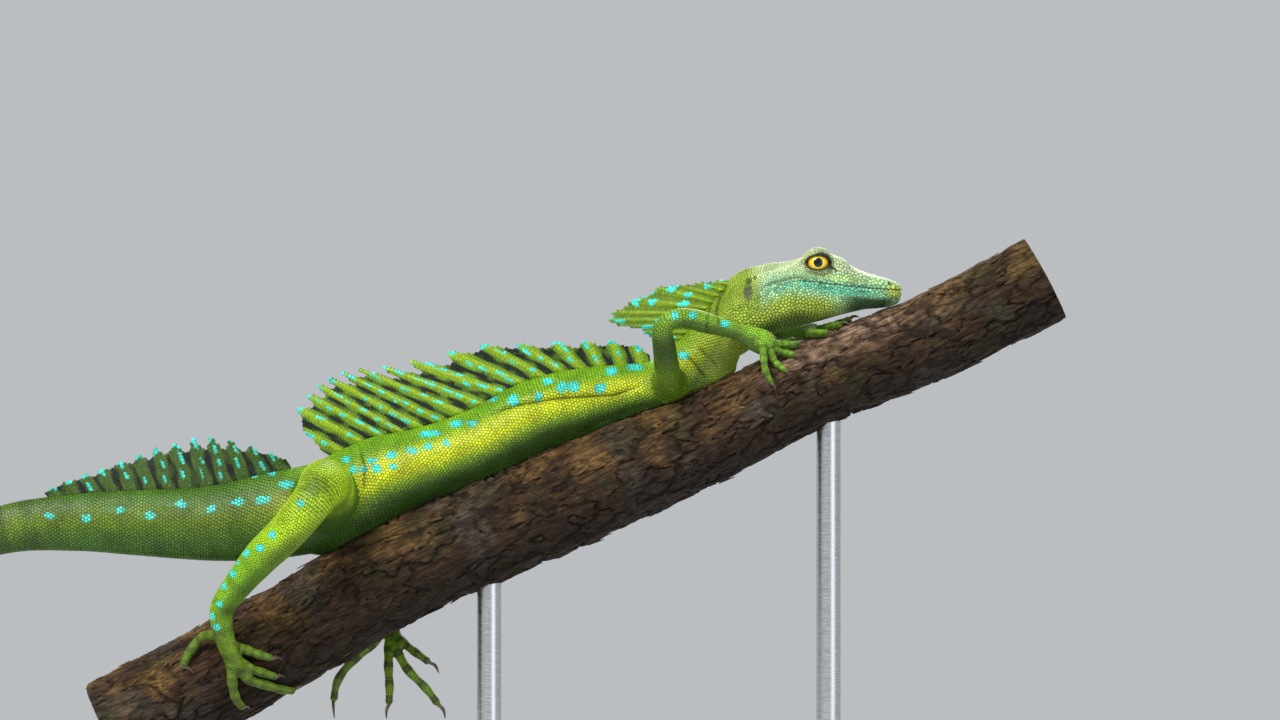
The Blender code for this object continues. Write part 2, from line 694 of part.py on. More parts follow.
def sail(name, table, rays, line, slot, thick=1.0, wave=SAIL_WAVE, scallop=SCALLOP):
    """A membrane stiffened by rays that are ridges raised on both of its faces."""
    start = table[0][0]
    end = table[-1][0]
    pitch = (end - start) / rays
    wide = min(RAY_WIDTH, pitch * RAY_SHARE)
    columns = [(start, False)]
    for i in range(rays):
        centre = start + pitch * (i + 0.5)
        columns.extend([(centre - wide, False), (centre, True), (centre + wide, False)])
        if i < rays - 1:
            columns.append((centre + pitch / 2, False))
    columns.append((end, False))
    height = len(SAIL_LEVELS)
    near = []
    far = []
    for x, is_ray in columns:
        _, length, lean = row_at(table, x)
        root, up = back_at(line, x * MM)
        share = (x - start) / pitch % 1.0
        if is_ray:
            reach = 1.0
        else:
            in_slit = min(share, 1.0 - share) < SLIT_SHARE
            reach = 1.0 - scallop * (1.0 if in_slit else SCALLOP_BESIDE_RAY)
        way = Vector((math.cos(math.radians(lean)), 0.0, math.sin(math.radians(lean))))
        root = root + up * GAP
        for level in SAIL_LEVELS:
            out = length * MM * reach * level
            droop = Vector((0.0, 0.0, -1.0)) * length * MM * SAIL_DROOP * level ** 2
            side = wave * MM * math.sin(x * SAIL_WAVE_PACE) * level ** 2
            half = MEMBRANE * thick
            if is_ray:
                half = RAY_ROOT * thick + (RAY_TIP - RAY_ROOT * thick) * level
            elif level == 0.0:
                half = MEMBRANE * thick + ROOT_FLARE
            middle = root + way * out + droop + Vector((0.0, side, 0.0))
            near.append(middle + Vector((0.0, -half * MM, 0.0)))
            far.append(middle + Vector((0.0, half * MM, 0.0)))
    vertices = near + far
    shift = len(near)
    faces = []
    for c in range(len(columns) - 1):
        for r in range(height - 1):
            a = c * height + r
            b = a + height
            faces.extend([(a, b, b + 1), (a, b + 1, a + 1)])
            faces.append((shift + a, shift + b + 1, shift + b))
            faces.append((shift + a, shift + a + 1, shift + b + 1))
        for r in (0, height - 1):
            a = c * height + r
            b = a + height
            faces.append((a, shift + a, shift + b, b))
    for c in (0, len(columns) - 1):
        for r in range(height - 1):
            a = c * height + r
            faces.append((a, a + 1, shift + a + 1, shift + a))
    return make_object(name, vertices, faces, slot)


def limb(names, points, joints, steps, slot):
    """The lengths of one limb: they meet at its joints with the small gap between."""
    rows = swept_rows(points)
    places = []
    spans = []
    for i in range(len(names)):
        start = rows[joints[i]][0] + (GAP / 2 if i else 0.0)
        end = rows[joints[i + 1]][0] - (GAP / 2 if i < len(names) - 1 else 0.0)
        spans.append((len(places), steps[i] + 1))
        places.extend(places_between(start, end, steps[i]))
    rings = sweep_rings(rows, places, LIMB_RING)
    return [loft(name, rings[first:first + count], slot)
            for name, (first, count) in zip(names, spans)]


def digit(name, root, places, thick, slot, free=False):
    """A finger or toe that narrows to its claw, from its root inside the palm."""
    points = [at(*root)]
    for place in places:
        if free:
            points.append(at(*place))
        else:
            points.append(over_bark(place[0] * MM, math.radians(place[1]), place[2] * MM))
    knuckles = len(points) - 1
    rows = []
    for i, point in enumerate(points):
        if i == knuckles:
            radius = CLAW_TIP
        else:
            radius = thick * (1.0 - (1.0 - DIGIT_TAPER) * i / (knuckles - 1))
        rows.append((*point, radius * MM, radius * MM))
    rows = with_distance(rows, lambda row: Vector(row[:3]))
    quick = rows[-2][0]
    end = rows[-1][0]
    places_on = places_between(0.0, quick, knuckles + 1)
    places_on.extend([quick + CLAW_STEP, (quick + end) / 2, end])
    rings = sweep_rings(rows, places_on, DIGIT_RING)
    for index, share in ((-3, CLAW), (-2, CLAW_MIDDLE)):
        middle = sum(rings[index], Vector()) / DIGIT_RING
        reach = thick * DIGIT_TAPER * MM * share / (rings[index][0] - middle).length
        rings[index] = [middle + (point - middle) * reach for point in rings[index]]
    return loft(name, rings, slot)


def ball(name, middle, radii, slot, around=16, rows=10, cutter=False):
    """A closed ball with its poles on the Y axis."""
    work = bmesh.new()
    bmesh.ops.create_uvsphere(work, u_segments=around, v_segments=rows, radius=1.0)
    bmesh.ops.rotate(work, verts=work.verts, matrix=Matrix.Rotation(math.pi / 2, 3, "X"))
    bmesh.ops.scale(work, verts=work.verts, vec=radii)
    bmesh.ops.translate(work, verts=work.verts, vec=middle)
    return add_mesh(name, work, slot, cutter)


def prism(name, outline, start_y, end_y):
    """A closed cutter with an outline of (x, z) run along Y."""
    count = len(outline)
    vertices = [Vector((x, y, z)) for y in (start_y, end_y) for x, z in outline]
    faces = [tuple(range(count)), tuple(range(count, 2 * count))]
    for k in range(count):
        n = (k + 1) % count
        faces.append((k, n, count + n, count + k))
    return make_object(name, vertices, faces, None, True)


def eye_opening(side):
    """The almond between the lids, as a cutter from the ball of the eye outward."""
    middle = at(EYE_PLACE[0], EYE_PLACE[1] * side, EYE_PLACE[2])
    outline = []
    for k in range(EYE_OPEN_STEPS):
        turn = math.tau * k / EYE_OPEN_STEPS
        x = EYE_OPEN_LENGTH / 2 * math.cos(turn)
        z = EYE_OPEN_HEIGHT / 2 * math.sin(turn) * (1.0 - EYE_OPEN_POINTED * math.cos(turn) ** 2)
        outline.append((middle.x + x, middle.z + z))
    return prism("eye_opening", outline, *[middle.y + reach * side for reach in EYE_CUT])


PART = bpy.data.collections.new("part")
CUTTERS = bpy.data.collections.new("cutters")
for thing in list(bpy.data.objects):
    bpy.data.objects.remove(thing, do_unlink=True)
for group_made in (PART, CUTTERS):
    bpy.context.scene.collection.children.link(group_made)

SKIN = material("skin_green", (0.33, 0.52, 0.06), 0.55)
HEAD_SKIN = material("skin_head", (0.42, 0.56, 0.33), 0.55)
MEMBRANE_SKIN = material("skin_sail", (0.13, 0.24, 0.08), 0.6)
EYE = material("eye", (0.80, 0.50, 0.03), 0.12)
BARK = material("bark", (0.16, 0.085, 0.04), 0.85)
PAINT = material("stand_paint", (0.05, 0.05, 0.055), 0.45)
STEEL = material("rod_steel", (0.55, 0.56, 0.58), 0.3, 1.0)

branch = loft("perch_branch", branch_rings(), BARK)
branch_room = loft("branch_room", branch_rings(GAP), None, True)
whole = []
for _, first_station, last_station, steps_here in body_plan()[4:]:
    whole.extend(body_rings(first_station, last_station, steps_here, GAP))
body_room = loft("body_room", whole + head_rings(GAP), None, True)

body = {}
for part_name, first_station, last_station, steps_here in body_plan():
    body[part_name] = loft(part_name, body_rings(first_station, last_station, steps_here), SKIN)
for part_name in ("torso", "neck"):
    cut(body[part_name], branch_room)

head = loft("head", head_rings(), HEAD_SKIN)
lids = []
for side in (-1, 1):
    middle = at(EYE_PLACE[0], EYE_PLACE[1] * side, EYE_PLACE[2])
    lid = EYE_RADIUS + GAP + LID_THICK
    lids.append(ball("lid", middle, (lid, lid, lid), HEAD_SKIN))
fuse(head, lids)
hollows = []
for side, word in ((-1, "right"), (1, "left")):
    middle = at(EYE_PLACE[0], EYE_PLACE[1] * side, EYE_PLACE[2])
    room = EYE_RADIUS + GAP
    hollows.append(ball("socket", middle, (room, room, room), None, cutter=True))
    hollows.append(eye_opening(side))
    nostril = at(NOSTRIL_PLACE[0], NOSTRIL_PLACE[1] * side, NOSTRIL_PLACE[2])
    hollows.append(ball("nostril", nostril, NOSTRIL_SIZE, None, 10, 6, True))
    ear = at(EAR_PLACE[0], EAR_PLACE[1] * side, EAR_PLACE[2])
    hollows.append(ball("ear", ear, EAR_SIZE, None, 12, 8, True))
    ball("eye_" + word, middle, (EYE_RADIUS, EYE_RADIUS, EYE_RADIUS), EYE)
cut(head, *hollows)
cut(head, branch_room)

BACK_LINE = back_line()
dorsal = sail("sail_back", DORSAL_ROWS, DORSAL_RAYS, BACK_LINE, MEMBRANE_SKIN)
tail_sail = sail("sail_tail", TAIL_SAIL_ROWS, TAIL_SAIL_RAYS, BACK_LINE, MEMBRANE_SKIN)
crest = sail("crest_head", CREST_ROWS, CREST_RAYS, BACK_LINE, MEMBRANE_SKIN, 1.4, 0.6, 0.07)

LIMBS = (
    (("upper_arm_right", "forearm_right", "hand_right"), ARM_RIGHT, JOINTS_ARM, HAND_RIGHT, FINGER, False),
    (("upper_arm_left", "forearm_left", "hand_left"), ARM_LEFT, JOINTS_ARM, HAND_LEFT, FINGER, False),
    (("thigh_right", "shin_right", "foot_right"), LEG_RIGHT, JOINTS_LEG, FOOT_RIGHT, TOE, False),
    (("thigh_left", "shin_left", "foot_left"), LEG_LEFT, JOINTS_LEG, FOOT_LEFT, TOE, True),
)
for names, points, joints, digits, thick, free in LIMBS:
    upper, lower, paw = limb(names, points, joints, LIMB_STEPS, SKIN)
    cut(upper, body_room, branch_room)
    cut(lower, body_room, branch_room)
    grown = [digit("digit", root, places, thick, SKIN, free) for root, places in digits]
    fuse(paw, grown)
    cut(paw, branch_room, body_room)


def stand_base():
    """A board with round corners and a softened upper edge."""
    work = bmesh.new()
    bmesh.ops.create_cube(work, size=1.0)
    bmesh.ops.scale(work, verts=work.verts, vec=(BASE_LENGTH, BASE_WIDTH, BASE_HEIGHT))
    bmesh.ops.translate(work, verts=work.verts, vec=(BASE_CENTRE_X, 0.0, BASE_HEIGHT / 2))
    upright = [e for e in work.edges if abs(e.verts[0].co.z - e.verts[1].co.z) > BASE_HEIGHT / 2]
    bmesh.ops.bevel(work, geom=upright, offset=BASE_CORNER, segments=BASE_CORNER_STEPS,
                    profile=0.5, affect="EDGES")
    level = BASE_HEIGHT - MM * 0.01
    rim = [e for e in work.edges if all(v.co.z > level for v in e.verts)]
    bmesh.ops.bevel(work, geom=rim, offset=BASE_EDGE, segments=BASE_EDGE_STEPS,
                    profile=0.5, affect="EDGES")
    return add_mesh("stand_base", work, PAINT)


def stand_rod(name, x):
    """A turned rod with a collar at its foot, from the base up into the branch."""
    foot = BASE_HEIGHT + GAP
    shoulder = foot + COLLAR_HEIGHT
    profile = (
        (0.0, row_at(BRANCH, x)[1]), (ROD_RADIUS, row_at(BRANCH, x)[1]),
        (ROD_RADIUS, shoulder), (COLLAR_RADIUS - COLLAR_EDGE, shoulder),
        (COLLAR_RADIUS, shoulder - COLLAR_EDGE), (COLLAR_RADIUS, foot), (0.0, foot),
    )
    mesh = bpy.data.meshes.new(name)
    mesh.from_pydata([(radius, 0.0, z) for radius, z in profile],
                     [(i, i + 1) for i in range(len(profile) - 1)], [])
    mesh.materials.append(STEEL)
    rod = bpy.data.objects.new(name, mesh)
    PART.objects.link(rod)
    turn = rod.modifiers.new("turn", "SCREW")
    turn.steps = ROD_RING
    turn.render_steps = ROD_RING
    turn.use_merge_vertices = True
    turn.merge_threshold = 0.0001
    finished_mesh(rod)
    mesh = rod.data
    mesh.transform(Matrix.Translation((x, 0.0, 0.0)))
    return cut(rod, branch_room)


stand_base()
for number, x in enumerate(ROD_PLACES, 1):
    stand_rod("stand_rod_" + str(number), x)

for made in PART.objects:
    smooth(made)
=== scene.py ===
# %% [markdown]
# Green basilisk on its perch
#
# The solids already stand at their real size: a lizard of about 0.7 m from snout to tail tip, lying along
# a slanted branch on a plain display stand. This lesson dresses them. The flesh becomes one closed skin,
# the skin gets a coat of fitted scales, and the sails, eyes, claws, bark and stand get their own pieces.

import math
import random
import time
from collections import namedtuple

import bmesh
import bpy
import numpy as np
from mathutils import Matrix, Vector
from mathutils.bvhtree import BVHTree
from mathutils.kdtree import KDTree
from mathutils.noise import noise as smooth_noise, voronoi as voronoi_near

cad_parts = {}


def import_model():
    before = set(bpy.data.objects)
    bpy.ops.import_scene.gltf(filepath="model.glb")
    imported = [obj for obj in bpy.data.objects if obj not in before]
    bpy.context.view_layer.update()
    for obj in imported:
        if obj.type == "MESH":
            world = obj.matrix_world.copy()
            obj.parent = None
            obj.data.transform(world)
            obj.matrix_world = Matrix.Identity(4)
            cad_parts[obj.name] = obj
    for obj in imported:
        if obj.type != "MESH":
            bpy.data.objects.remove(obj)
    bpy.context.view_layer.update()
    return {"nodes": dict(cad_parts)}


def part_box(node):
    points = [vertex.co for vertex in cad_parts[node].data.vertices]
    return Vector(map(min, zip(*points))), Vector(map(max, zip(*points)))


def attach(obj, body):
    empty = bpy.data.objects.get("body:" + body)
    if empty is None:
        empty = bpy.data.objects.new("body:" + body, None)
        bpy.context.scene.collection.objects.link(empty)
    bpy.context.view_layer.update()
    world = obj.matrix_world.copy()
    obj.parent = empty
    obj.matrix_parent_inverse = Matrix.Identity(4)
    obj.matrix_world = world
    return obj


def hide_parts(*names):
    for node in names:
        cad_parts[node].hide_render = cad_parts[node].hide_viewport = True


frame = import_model()
STARTED = time.time()
MM = 0.001
RISE = 0.43


def timed(*words):
    print(*words, round(time.time() - STARTED, 1), "s")


print("frame holds", len(frame["nodes"]), "nodes")


# %% [markdown]
# ## Camera, floor and light
#
# The photograph was taken from far away at the animal's own height, so a long lens held level gives its
# flat, undistorted look. A soft key from above and in front, a cool fill and a bright world stand in for
# a studio; the floor is a plain pale disc that only the raised views show.

# %% Camera at the photograph's angle
CAMERA_AWAY = 1.98
LENS = 150


def placed(name, data, location, turned):
    made = bpy.data.objects.new(name, data)
    made.location = location
    made.rotation_euler = turned
    bpy.context.scene.collection.objects.link(made)
    return made


def make_camera():
    data = bpy.data.cameras.new("photo_camera")
    data.lens = LENS
    data.sensor_width = 36
    level = (math.radians(90), 0, 0)
    bpy.context.scene.camera = placed("photo_camera", data, (0, -CAMERA_AWAY, RISE), level)


make_camera()
print("camera", CAMERA_AWAY, "m away")

# %% Soft light and a plain floor
LIGHTS = (
    # name, place, size, watts, colour
    ("key", (-0.75, -1.35, 1.75), 0.9, 42, (1, 0.96, 0.88)),
    ("fill", (1.5, -1.7, 0.7), 1.4, 10, (0.86, 0.93, 1)),
    ("back", (0.3, 1.5, 1.5), 0.9, 26, (1, 0.98, 0.94)),
)


def add_light(name, place, size, watts, colour):
    data = bpy.data.lights.new(name, "AREA")
    data.size = size
    data.energy = watts
    data.color = colour
    aim = Vector((0, 0, RISE)) - Vector(place)
    placed(name, data, place, aim.to_track_quat("-Z", "Y").to_euler())


def pale_surroundings(colour, strength):
    world = bpy.data.worlds.new("studio")
    world.use_nodes = True
    background = world.node_tree.nodes["Background"]
    background.inputs["Color"].default_value = (*colour, 1)
    background.inputs["Strength"].default_value = strength
    bpy.context.scene.world = world


def add_object(name, mesh):
    made = bpy.data.objects.new(name, mesh)
    bpy.context.scene.collection.objects.link(made)
    return made


def object_from(name, work):
    """An object with the mesh that was worked out in bmesh."""
    mesh = bpy.data.meshes.new(name)
    work.to_mesh(mesh)
    work.free()
    return add_object(name, mesh)


def new_material(name):
    """A material with nodes, its tree and its shader."""
    made = bpy.data.materials.new(name)
    made.use_nodes = True
    return made, made.node_tree, made.node_tree.nodes["Principled BSDF"]


def feed(tree, node, inputs):
    """Links or sets inputs of a node by name or number."""
    for key, value in inputs.items():
        if isinstance(value, bpy.types.NodeSocket):
            tree.links.new(value, node.inputs[key])
        else:
            node.inputs[key].default_value = value
    return node


def make_floor(radius):
    work = bmesh.new()
    bmesh.ops.create_circle(work, cap_ends=True, segments=96, radius=radius)
    floor = object_from("floor", work)
    finish, tree, shader = new_material("pale_floor")
    feed(tree, shader, {"Base Color": (0.74, 0.74, 0.73, 1), "Roughness": 0.8})
    floor.data.materials.append(finish)


FLOOR_RADIUS = 3.7
SKY = ((0.8, 0.83, 0.86), 0.62)
for light in LIGHTS:
    add_light(*light)
pale_surroundings(*SKY)
make_floor(FLOOR_RADIUS)
bpy.context.scene.view_settings.view_transform = "Standard"
print("lights", len(LIGHTS))


# %% [markdown]
# ## The body's measurements
#
# The skin must sit where the solids are, so it is grown from the same stations, in millimetres from a
# point of the branch below the shoulders. A station is a cut through the body; everything between two
# stations comes from one smooth cubic, so a few numbers carry the whole animal.

# %% Stations of trunk, tail and head
TRUNK_ROWS = (
    # back x, back z, belly x, belly z, y, half width
    (-140.2, -42.3, -145.8, -74.6, 1, 9.2),
    (-121.7, -38.2, -126.1, -72.7, 0, 11.6),
    (-111.3, -33.4, -107.6, -68.3, 0, 13),
    (-99.4, -28.6, -87.2, -56.4, 0, 14),
    (-81.6, -24.9, -69.7, -48.8, 0, 14.2),
    (-63.1, -18.2, -51.4, -41.2, 0, 13.8),
    (-44.5, -8.5, -34.6, -33, 0.5, 13),
    (-31.2, -4.5, -24.6, -29.4, 1, 12.4),
    (-18.6, -2.6, -13.6, -26, 2, 11.8),
    (-6.7, -1.5, -1.5, -21.1, 3, 11),
    (3.7, -0.4, 10.4, -18.6, 3, 10.6),
    (10.4, 3.7, 20, -14.8, 3, 10.2),
    (18.6, 11.9, 28.9, -10.4, 2, 10),
    (26.7, 21.5, 34, -3.7, 1, 10.4),
    (34.9, 30.8, 35.2, 3, 0, 11),
)
TAIL_ROWS = (
    # x, y, z, half width, half depth
    (-262, -8, -401, 0.7, 0.7),
    (-273, -7, -390, 1, 1),
    (-289, -5, -364, 1.3, 1.4),
    (-301, -2, -333, 1.6, 1.8),
    (-309, 2, -299, 1.9, 2.3),
    (-314, 6, -262, 2.2, 2.8),
    (-316, 10, -225, 2.5, 3.4),
    (-315, 13, -188, 2.8, 4),
    (-311, 15, -152, 3.2, 4.7),
    (-302, 15, -120, 3.6, 5.5),
    (-286, 14, -93, 4, 6.5),
    (-263, 12, -73, 4.5, 7.7),
    (-236, 9, -63, 5, 9.2),
    (-209, 6, -60.5, 5.7, 10.8),
    (-187.4, 4, -60.5, 6.5, 12.3),
    (-162, 2, -60.8, 7.9, 13.8),
)
BACK_RIDGE = 0.16
NECK_START = 28
HEAD_ROWS = (
    # x, top, ridge, brow z, mouth z, bottom, brow, side, lip and jaw half widths
    (35.2, 30.8, 2, 25.5, 19, 3, 7.2, 10.2, 11, 8.6),
    (41, 34, 2.4, 28.5, 21.5, 5.8, 7.9, 11, 11.9, 9.2),
    (48, 36.2, 2.4, 31.2, 25.5, 9, 8.6, 11.3, 12.3, 9.8),
    (55, 36.8, 1.4, 33, 28.6, 11.6, 9.2, 11, 12.2, 10.1),
    (60, 38.2, 0.4, 35.2, 29.1, 12.9, 9.7, 10.6, 11.9, 10),
    (66, 39.8, -0.4, 38.3, 28.7, 14.4, 10, 10.2, 11.1, 9.6),
    (71.5, 39.2, -0.3, 37.6, 28, 15.9, 8.8, 9.3, 10.1, 8.9),
    (77, 35.9, 0.2, 34.2, 27.4, 17.3, 6.9, 8.1, 8.9, 7.9),
    (83, 33, 0.2, 31.6, 26.8, 18.6, 5.5, 6.9, 7.7, 6.8),
    (89, 31.2, 0.2, 30, 26.3, 20, 4.5, 5.7, 6.4, 5.5),
    (93.5, 29.8, 0.1, 28.8, 26, 21.2, 3.5, 4.5, 5.1, 4.3),
    (96, 28.4, 0.1, 27.8, 25.8, 22.5, 2.4, 3.1, 3.6, 2.9),
    (97, 27.1, 0, 26.8, 25.6, 24, 1.2, 1.6, 1.9, 1.4),
)
LIP_HEIGHT = 1
EYE_PLACE = (65.8, 6.7, 36)
EYE_RADIUS = 4.7
print("stations", len(TRUNK_ROWS) + len(TAIL_ROWS) + len(HEAD_ROWS))

# %% Paths of the limbs and digits
ARM_RIGHT = (
    # x, y, z, half width, half height
    (11, 0, -9.5, 6.8, 6.8), (10.8, -8, -8.6, 6.1, 6.1), (9.8, -15.5, -2, 4.8, 4.6),
    (8.8, -21.2, 5.6, 4.3, 4.2), (8.2, -24.4, 10.4, 3.9, 3.9), (10.6, -26.2, 14, 3.5, 3.5),
    (15.6, -25.9, 15.5, 3.7, 3.6), (25, -21.2, 13.4, 3.8, 3.4), (35.5, -16.8, 10.4, 3.2, 2.6),
    (41.5, -15.2, 8, 4.5, 2.3), (46, -14.2, 6, 4.7, 2.1), (48.8, -13.6, 4.6, 3.8, 1.6),
)
ARM_LEFT = (
    (12, 4, -9, 6.8, 6.8), (13, 12, -6.8, 5.9, 5.9), (17.5, 20.5, -1.5, 4.6, 4.6),
    (23.5, 25.5, 3.5, 4.2, 4.2), (28.5, 27.2, 7.4, 4, 4), (33.5, 26.4, 10.2, 3.9, 3.9),
    (39, 23.6, 11.2, 3.8, 3.6), (46.5, 19.5, 10.8, 3.5, 3.2), (54, 15, 10, 3, 2.4),
    (59, 11, 9.7, 4.3, 2.1), (63, 8, 10.3, 4.3, 1.9), (65.8, 6.2, 11.1, 3.6, 1.5),
)
LEG_RIGHT = (
    (-117, -2, -52, 12.2, 12.2), (-116, -14, -50.2, 11.6, 11.6),
    (-115, -27, -47.2, 10.6, 10.6), (-114.8, -38.5, -45.6, 9.5, 9.5),
    (-116.2, -46, -47.8, 8.3, 8.3), (-120.6, -49.4, -53.8, 7.6, 7.6),
    (-127.8, -48, -62.2, 7.1, 7.1), (-137.8, -41.8, -71.8, 6.6, 6.6),
    (-146.2, -34.8, -81.5, 5.4, 5.5), (-153, -28.5, -91, 4.5, 4.5),
    (-153, -25.6, -98.5, 4.5, 3.8), (-151.2, -23.8, -105.5, 5.4, 3),
    (-149, -23, -111, 5.2, 2.4), (-147.8, -22.6, -114, 4.2, 1.9),
)
LEG_LEFT = (
    (-117, 2, -54, 12, 12), (-114, 13, -53, 11.2, 11.2),
    (-107.5, 25, -50.5, 9.8, 9.8), (-100, 35, -47.2, 8.2, 8.2),
    (-93, 41.6, -48.4, 7, 7), (-88.6, 43.8, -54.2, 6.4, 6.4),
    (-88.2, 42.2, -62, 6.3, 6.3), (-92.2, 38, -71, 6, 6),
    (-99, 32, -80.5, 5, 5), (-103.5, 28, -89.5, 4.2, 4.2),
    (-101.5, 25.5, -94.5, 4.6, 3.6), (-97.5, 22.5, -98, 5, 2.8),
    (-93.8, 19.5, -101, 4.6, 2.3), (-92, 18, -102.5, 3.6, 1.8),
)
# Digits: root in the palm, then places over the bark as x, degrees round from the top toward the
# camera and lift; the last place is the tip of the claw
HAND_RIGHT = (
    ((45, -11.8, 6.6), ((48.5, 18, 4.2), (52, 12, 2.2), (55.5, 8, 1.7), (58.5, 6, 0.5))),
     ((47.5, -12.4, 5.4), ((51.5, 26, 3.6), (55.5, 24, 1.9), (59, 25, 1.6), (62, 27, 0.5))),
    ((48, -13.4, 5.2), ((51.5, 36, 3.4), (55, 40, 1.9), (57.5, 47, 1.6), (59, 55, 0.5))),
     ((47.4, -14.6, 5.2), ((49.5, 46, 3.2), (52, 54, 1.9), (54, 62, 1.6), (55.2, 70, 0.5))),
    ((45, -16.6, 6.4), ((46, 54, 4.4), (47.5, 63, 2.2), (49, 71, 1.7), (50, 79, 0.5))), )
HAND_LEFT = (
    ((63, 7, 10.2), ((62.8, 8, 2.6), (66.5, 18, 1.8), (69.5, 28, 1.6), (72, 37, 0.5))),
     ((64.5, 6.2, 10.9), ((67, -4, 2), (71, 6, 1.7), (74.5, 14, 1.6), (77.5, 21, 0.5))),
    ((65, 6.6, 11), ((69, -12, 2), (74, -8, 1.7), (78.5, -4, 1.6), (81.5, -1, 0.5))),
     ((64.5, 7.6, 10.8), ((68.5, -27, 2), (73.5, -27, 1.7), (77.5, -26, 1.6), (80.5, -25, 0.5))),
    ((60.5, 11.6, 9.4), ((63.5, -44, 2.8), (67, -50, 1.8), (70.5, -55, 0.5))), )
FOOT_RIGHT = (
    ((-149, -23.8, -105), ((-145.5, 80, 3.2), (-139.6, 92, 2.4), (-134.8, 102, 2), (-131.2, 110, 0.6))),
    ((-148.5, -23.2, -109), ((-144, 97, 2.8), (-138.2, 110, 2.3), (-133.6, 121, 2), (-130.6, 130, 0.6))),
    ((-148.6, -22.9, -112), ((-143.6, 108, 2.8), (-137.3, 123, 2.4), (-131.5, 139, 2.2),
     (-127.9, 154, 2), (-124.6, 167, 0.8))),
    ((-150, -23, -111.5), ((-149.4, 108, 2.8), (-148.3, 121, 2.4), (-146.2, 134, 2.1), (-143.8, 146, 0.6))),
    ((-153.5, -25, -101), ((-161, 52, 4.6), (-166, 57, 2.8), (-168.2, 66, 2.2), (-163.6, 78, 0.6))),
)
# The toes of the left foot hang free below the branch, so they are given in x, y and z
FOOT_LEFT = (
    ((-94.5, 20, -100), ((-101, 16.5, -107), (-108, 14, -113), (-113, 12, -120),
     (-114.5, 11, -128), (-114, 10, -134))),
    ((-93.5, 19, -101), ((-94, 16.5, -107.5), (-94, 13.5, -115), (-93.5, 11.5, -123),
     (-93.8, 10.5, -129), (-94.5, 9.5, -134))),
    ((-93, 18.8, -101.3), ((-91, 15.5, -108.5), (-86.5, 13, -116), (-80, 11.5, -122.5),
     (-75, 10.5, -129), (-72.7, 9.5, -134))),
    ((-92.5, 19, -101), ((-89.5, 16, -105), (-84.5, 13, -108.8), (-78.5, 11, -113), (-75, 10, -117))),
    ((-99, 23.5, -97), ((-105, 23.5, -99), (-111, 22, -103.5), (-116, 20, -109))), )
FINGER = 1.55
TOE = 2.1
DIGIT_TAPER = 0.72
BRANCH_ROWS = (
    # x, z, radius
    (-196, -138, 20),
    (-134.7, -104.6, 19.3),
    (-89, -78.2, 19),
    (-29.7, -52, 19.2),
    (22.3, -29.2, 17.8),
    (59.4, -10.9, 16.4),
    (111.3, 10, 16.2),
    (150, 30.5, 16.8),
)
BARK_SWELL = 0.022
BARK_SEED = 4
BARK_WAVES = 9
BARK_PACE = (12, 90)
BARK_STRENGTH = (0.3, 1)
BARK_EVEN = 2.5
print("limbs 4, digits", sum(len(paw) for paw in (HAND_RIGHT, HAND_LEFT, FOOT_RIGHT, FOOT_LEFT)))

# %% Smooth curves through the stations
ROW_STEP = 0.0002


def curve(rows, where):
    """Every column of the rows at places along their first column, on a smooth cubic."""
    rows = np.asarray(rows, float)
    place = rows[:, 0]
    where = np.clip(np.asarray(where, float), place[0], place[-1])
    i = np.clip(np.searchsorted(place, where, side="right") - 1, 0, len(place) - 2)
    before, start, end = rows[np.maximum(i - 1, 0)], rows[i], rows[i + 1]
    after = rows[np.minimum(i + 2, len(place) - 1)]
    span = end[:, :1] - start[:, :1]
    t = (where[:, None] - start[:, :1]) / span
    leave = (end - before) / (end[:, :1] - before[:, :1]) * span
    arrive = (after - start) / (after[:, :1] - start[:, :1]) * span
    found = (2 * t ** 3 - 3 * t ** 2 + 1) * start + (t ** 3 - 2 * t ** 2 + t) * leave
    return found + (3 * t ** 2 - 2 * t ** 3) * end + (t ** 3 - t ** 2) * arrive


def with_distance(rows, places):
    """The rows with the distance run along their places put in front."""
    steps = np.linalg.norm(np.diff(places, axis=0), axis=1)
    return np.column_stack([np.concatenate([[0], np.cumsum(steps)]), rows])


def world(points):
    """Millimetres from the middle of the perch made metres above the floor."""
    return np.asarray(points, float) * MM + np.array([0, 0, RISE])


def lengths(vectors):
    return np.linalg.norm(vectors, axis=-1)


def unit(vectors):
    return vectors / np.maximum(np.linalg.norm(vectors, axis=-1, keepdims=True), 1e-12)


# %% [markdown]
# ## Sections of the body
#
# Trunk, neck and tail are slightly pointed ovals, deeper than wide. The head is a longer story: crown,
# brow, cheek, lip and throat each have their own width, and a closed cubic through those corners turns
# them into one soft section. Toward the neck the oval is blended into the head's own section, so both
# meet without a step.

# %% Rings of trunk, neck and tail
def body_stations():
    rows = []
    for i, (x, y, z, wide, deep) in enumerate(TAIL_ROWS):
        after, before = TAIL_ROWS[min(i + 1, len(TAIL_ROWS) - 1)], TAIL_ROWS[max(i - 1, 0)]
        run = unit(np.array([after[0] - before[0], after[2] - before[2]]))
        rows.append((x - run[1] * deep, z + run[0] * deep, x + run[1] * deep, z - run[0] * deep, y, wide))
    rows = np.array(rows + list(TRUNK_ROWS)) * MM
    rows[:, [1, 3]] += RISE
    return with_distance(rows, (rows[:, [0, 1]] + rows[:, [2, 3]]) / 2)


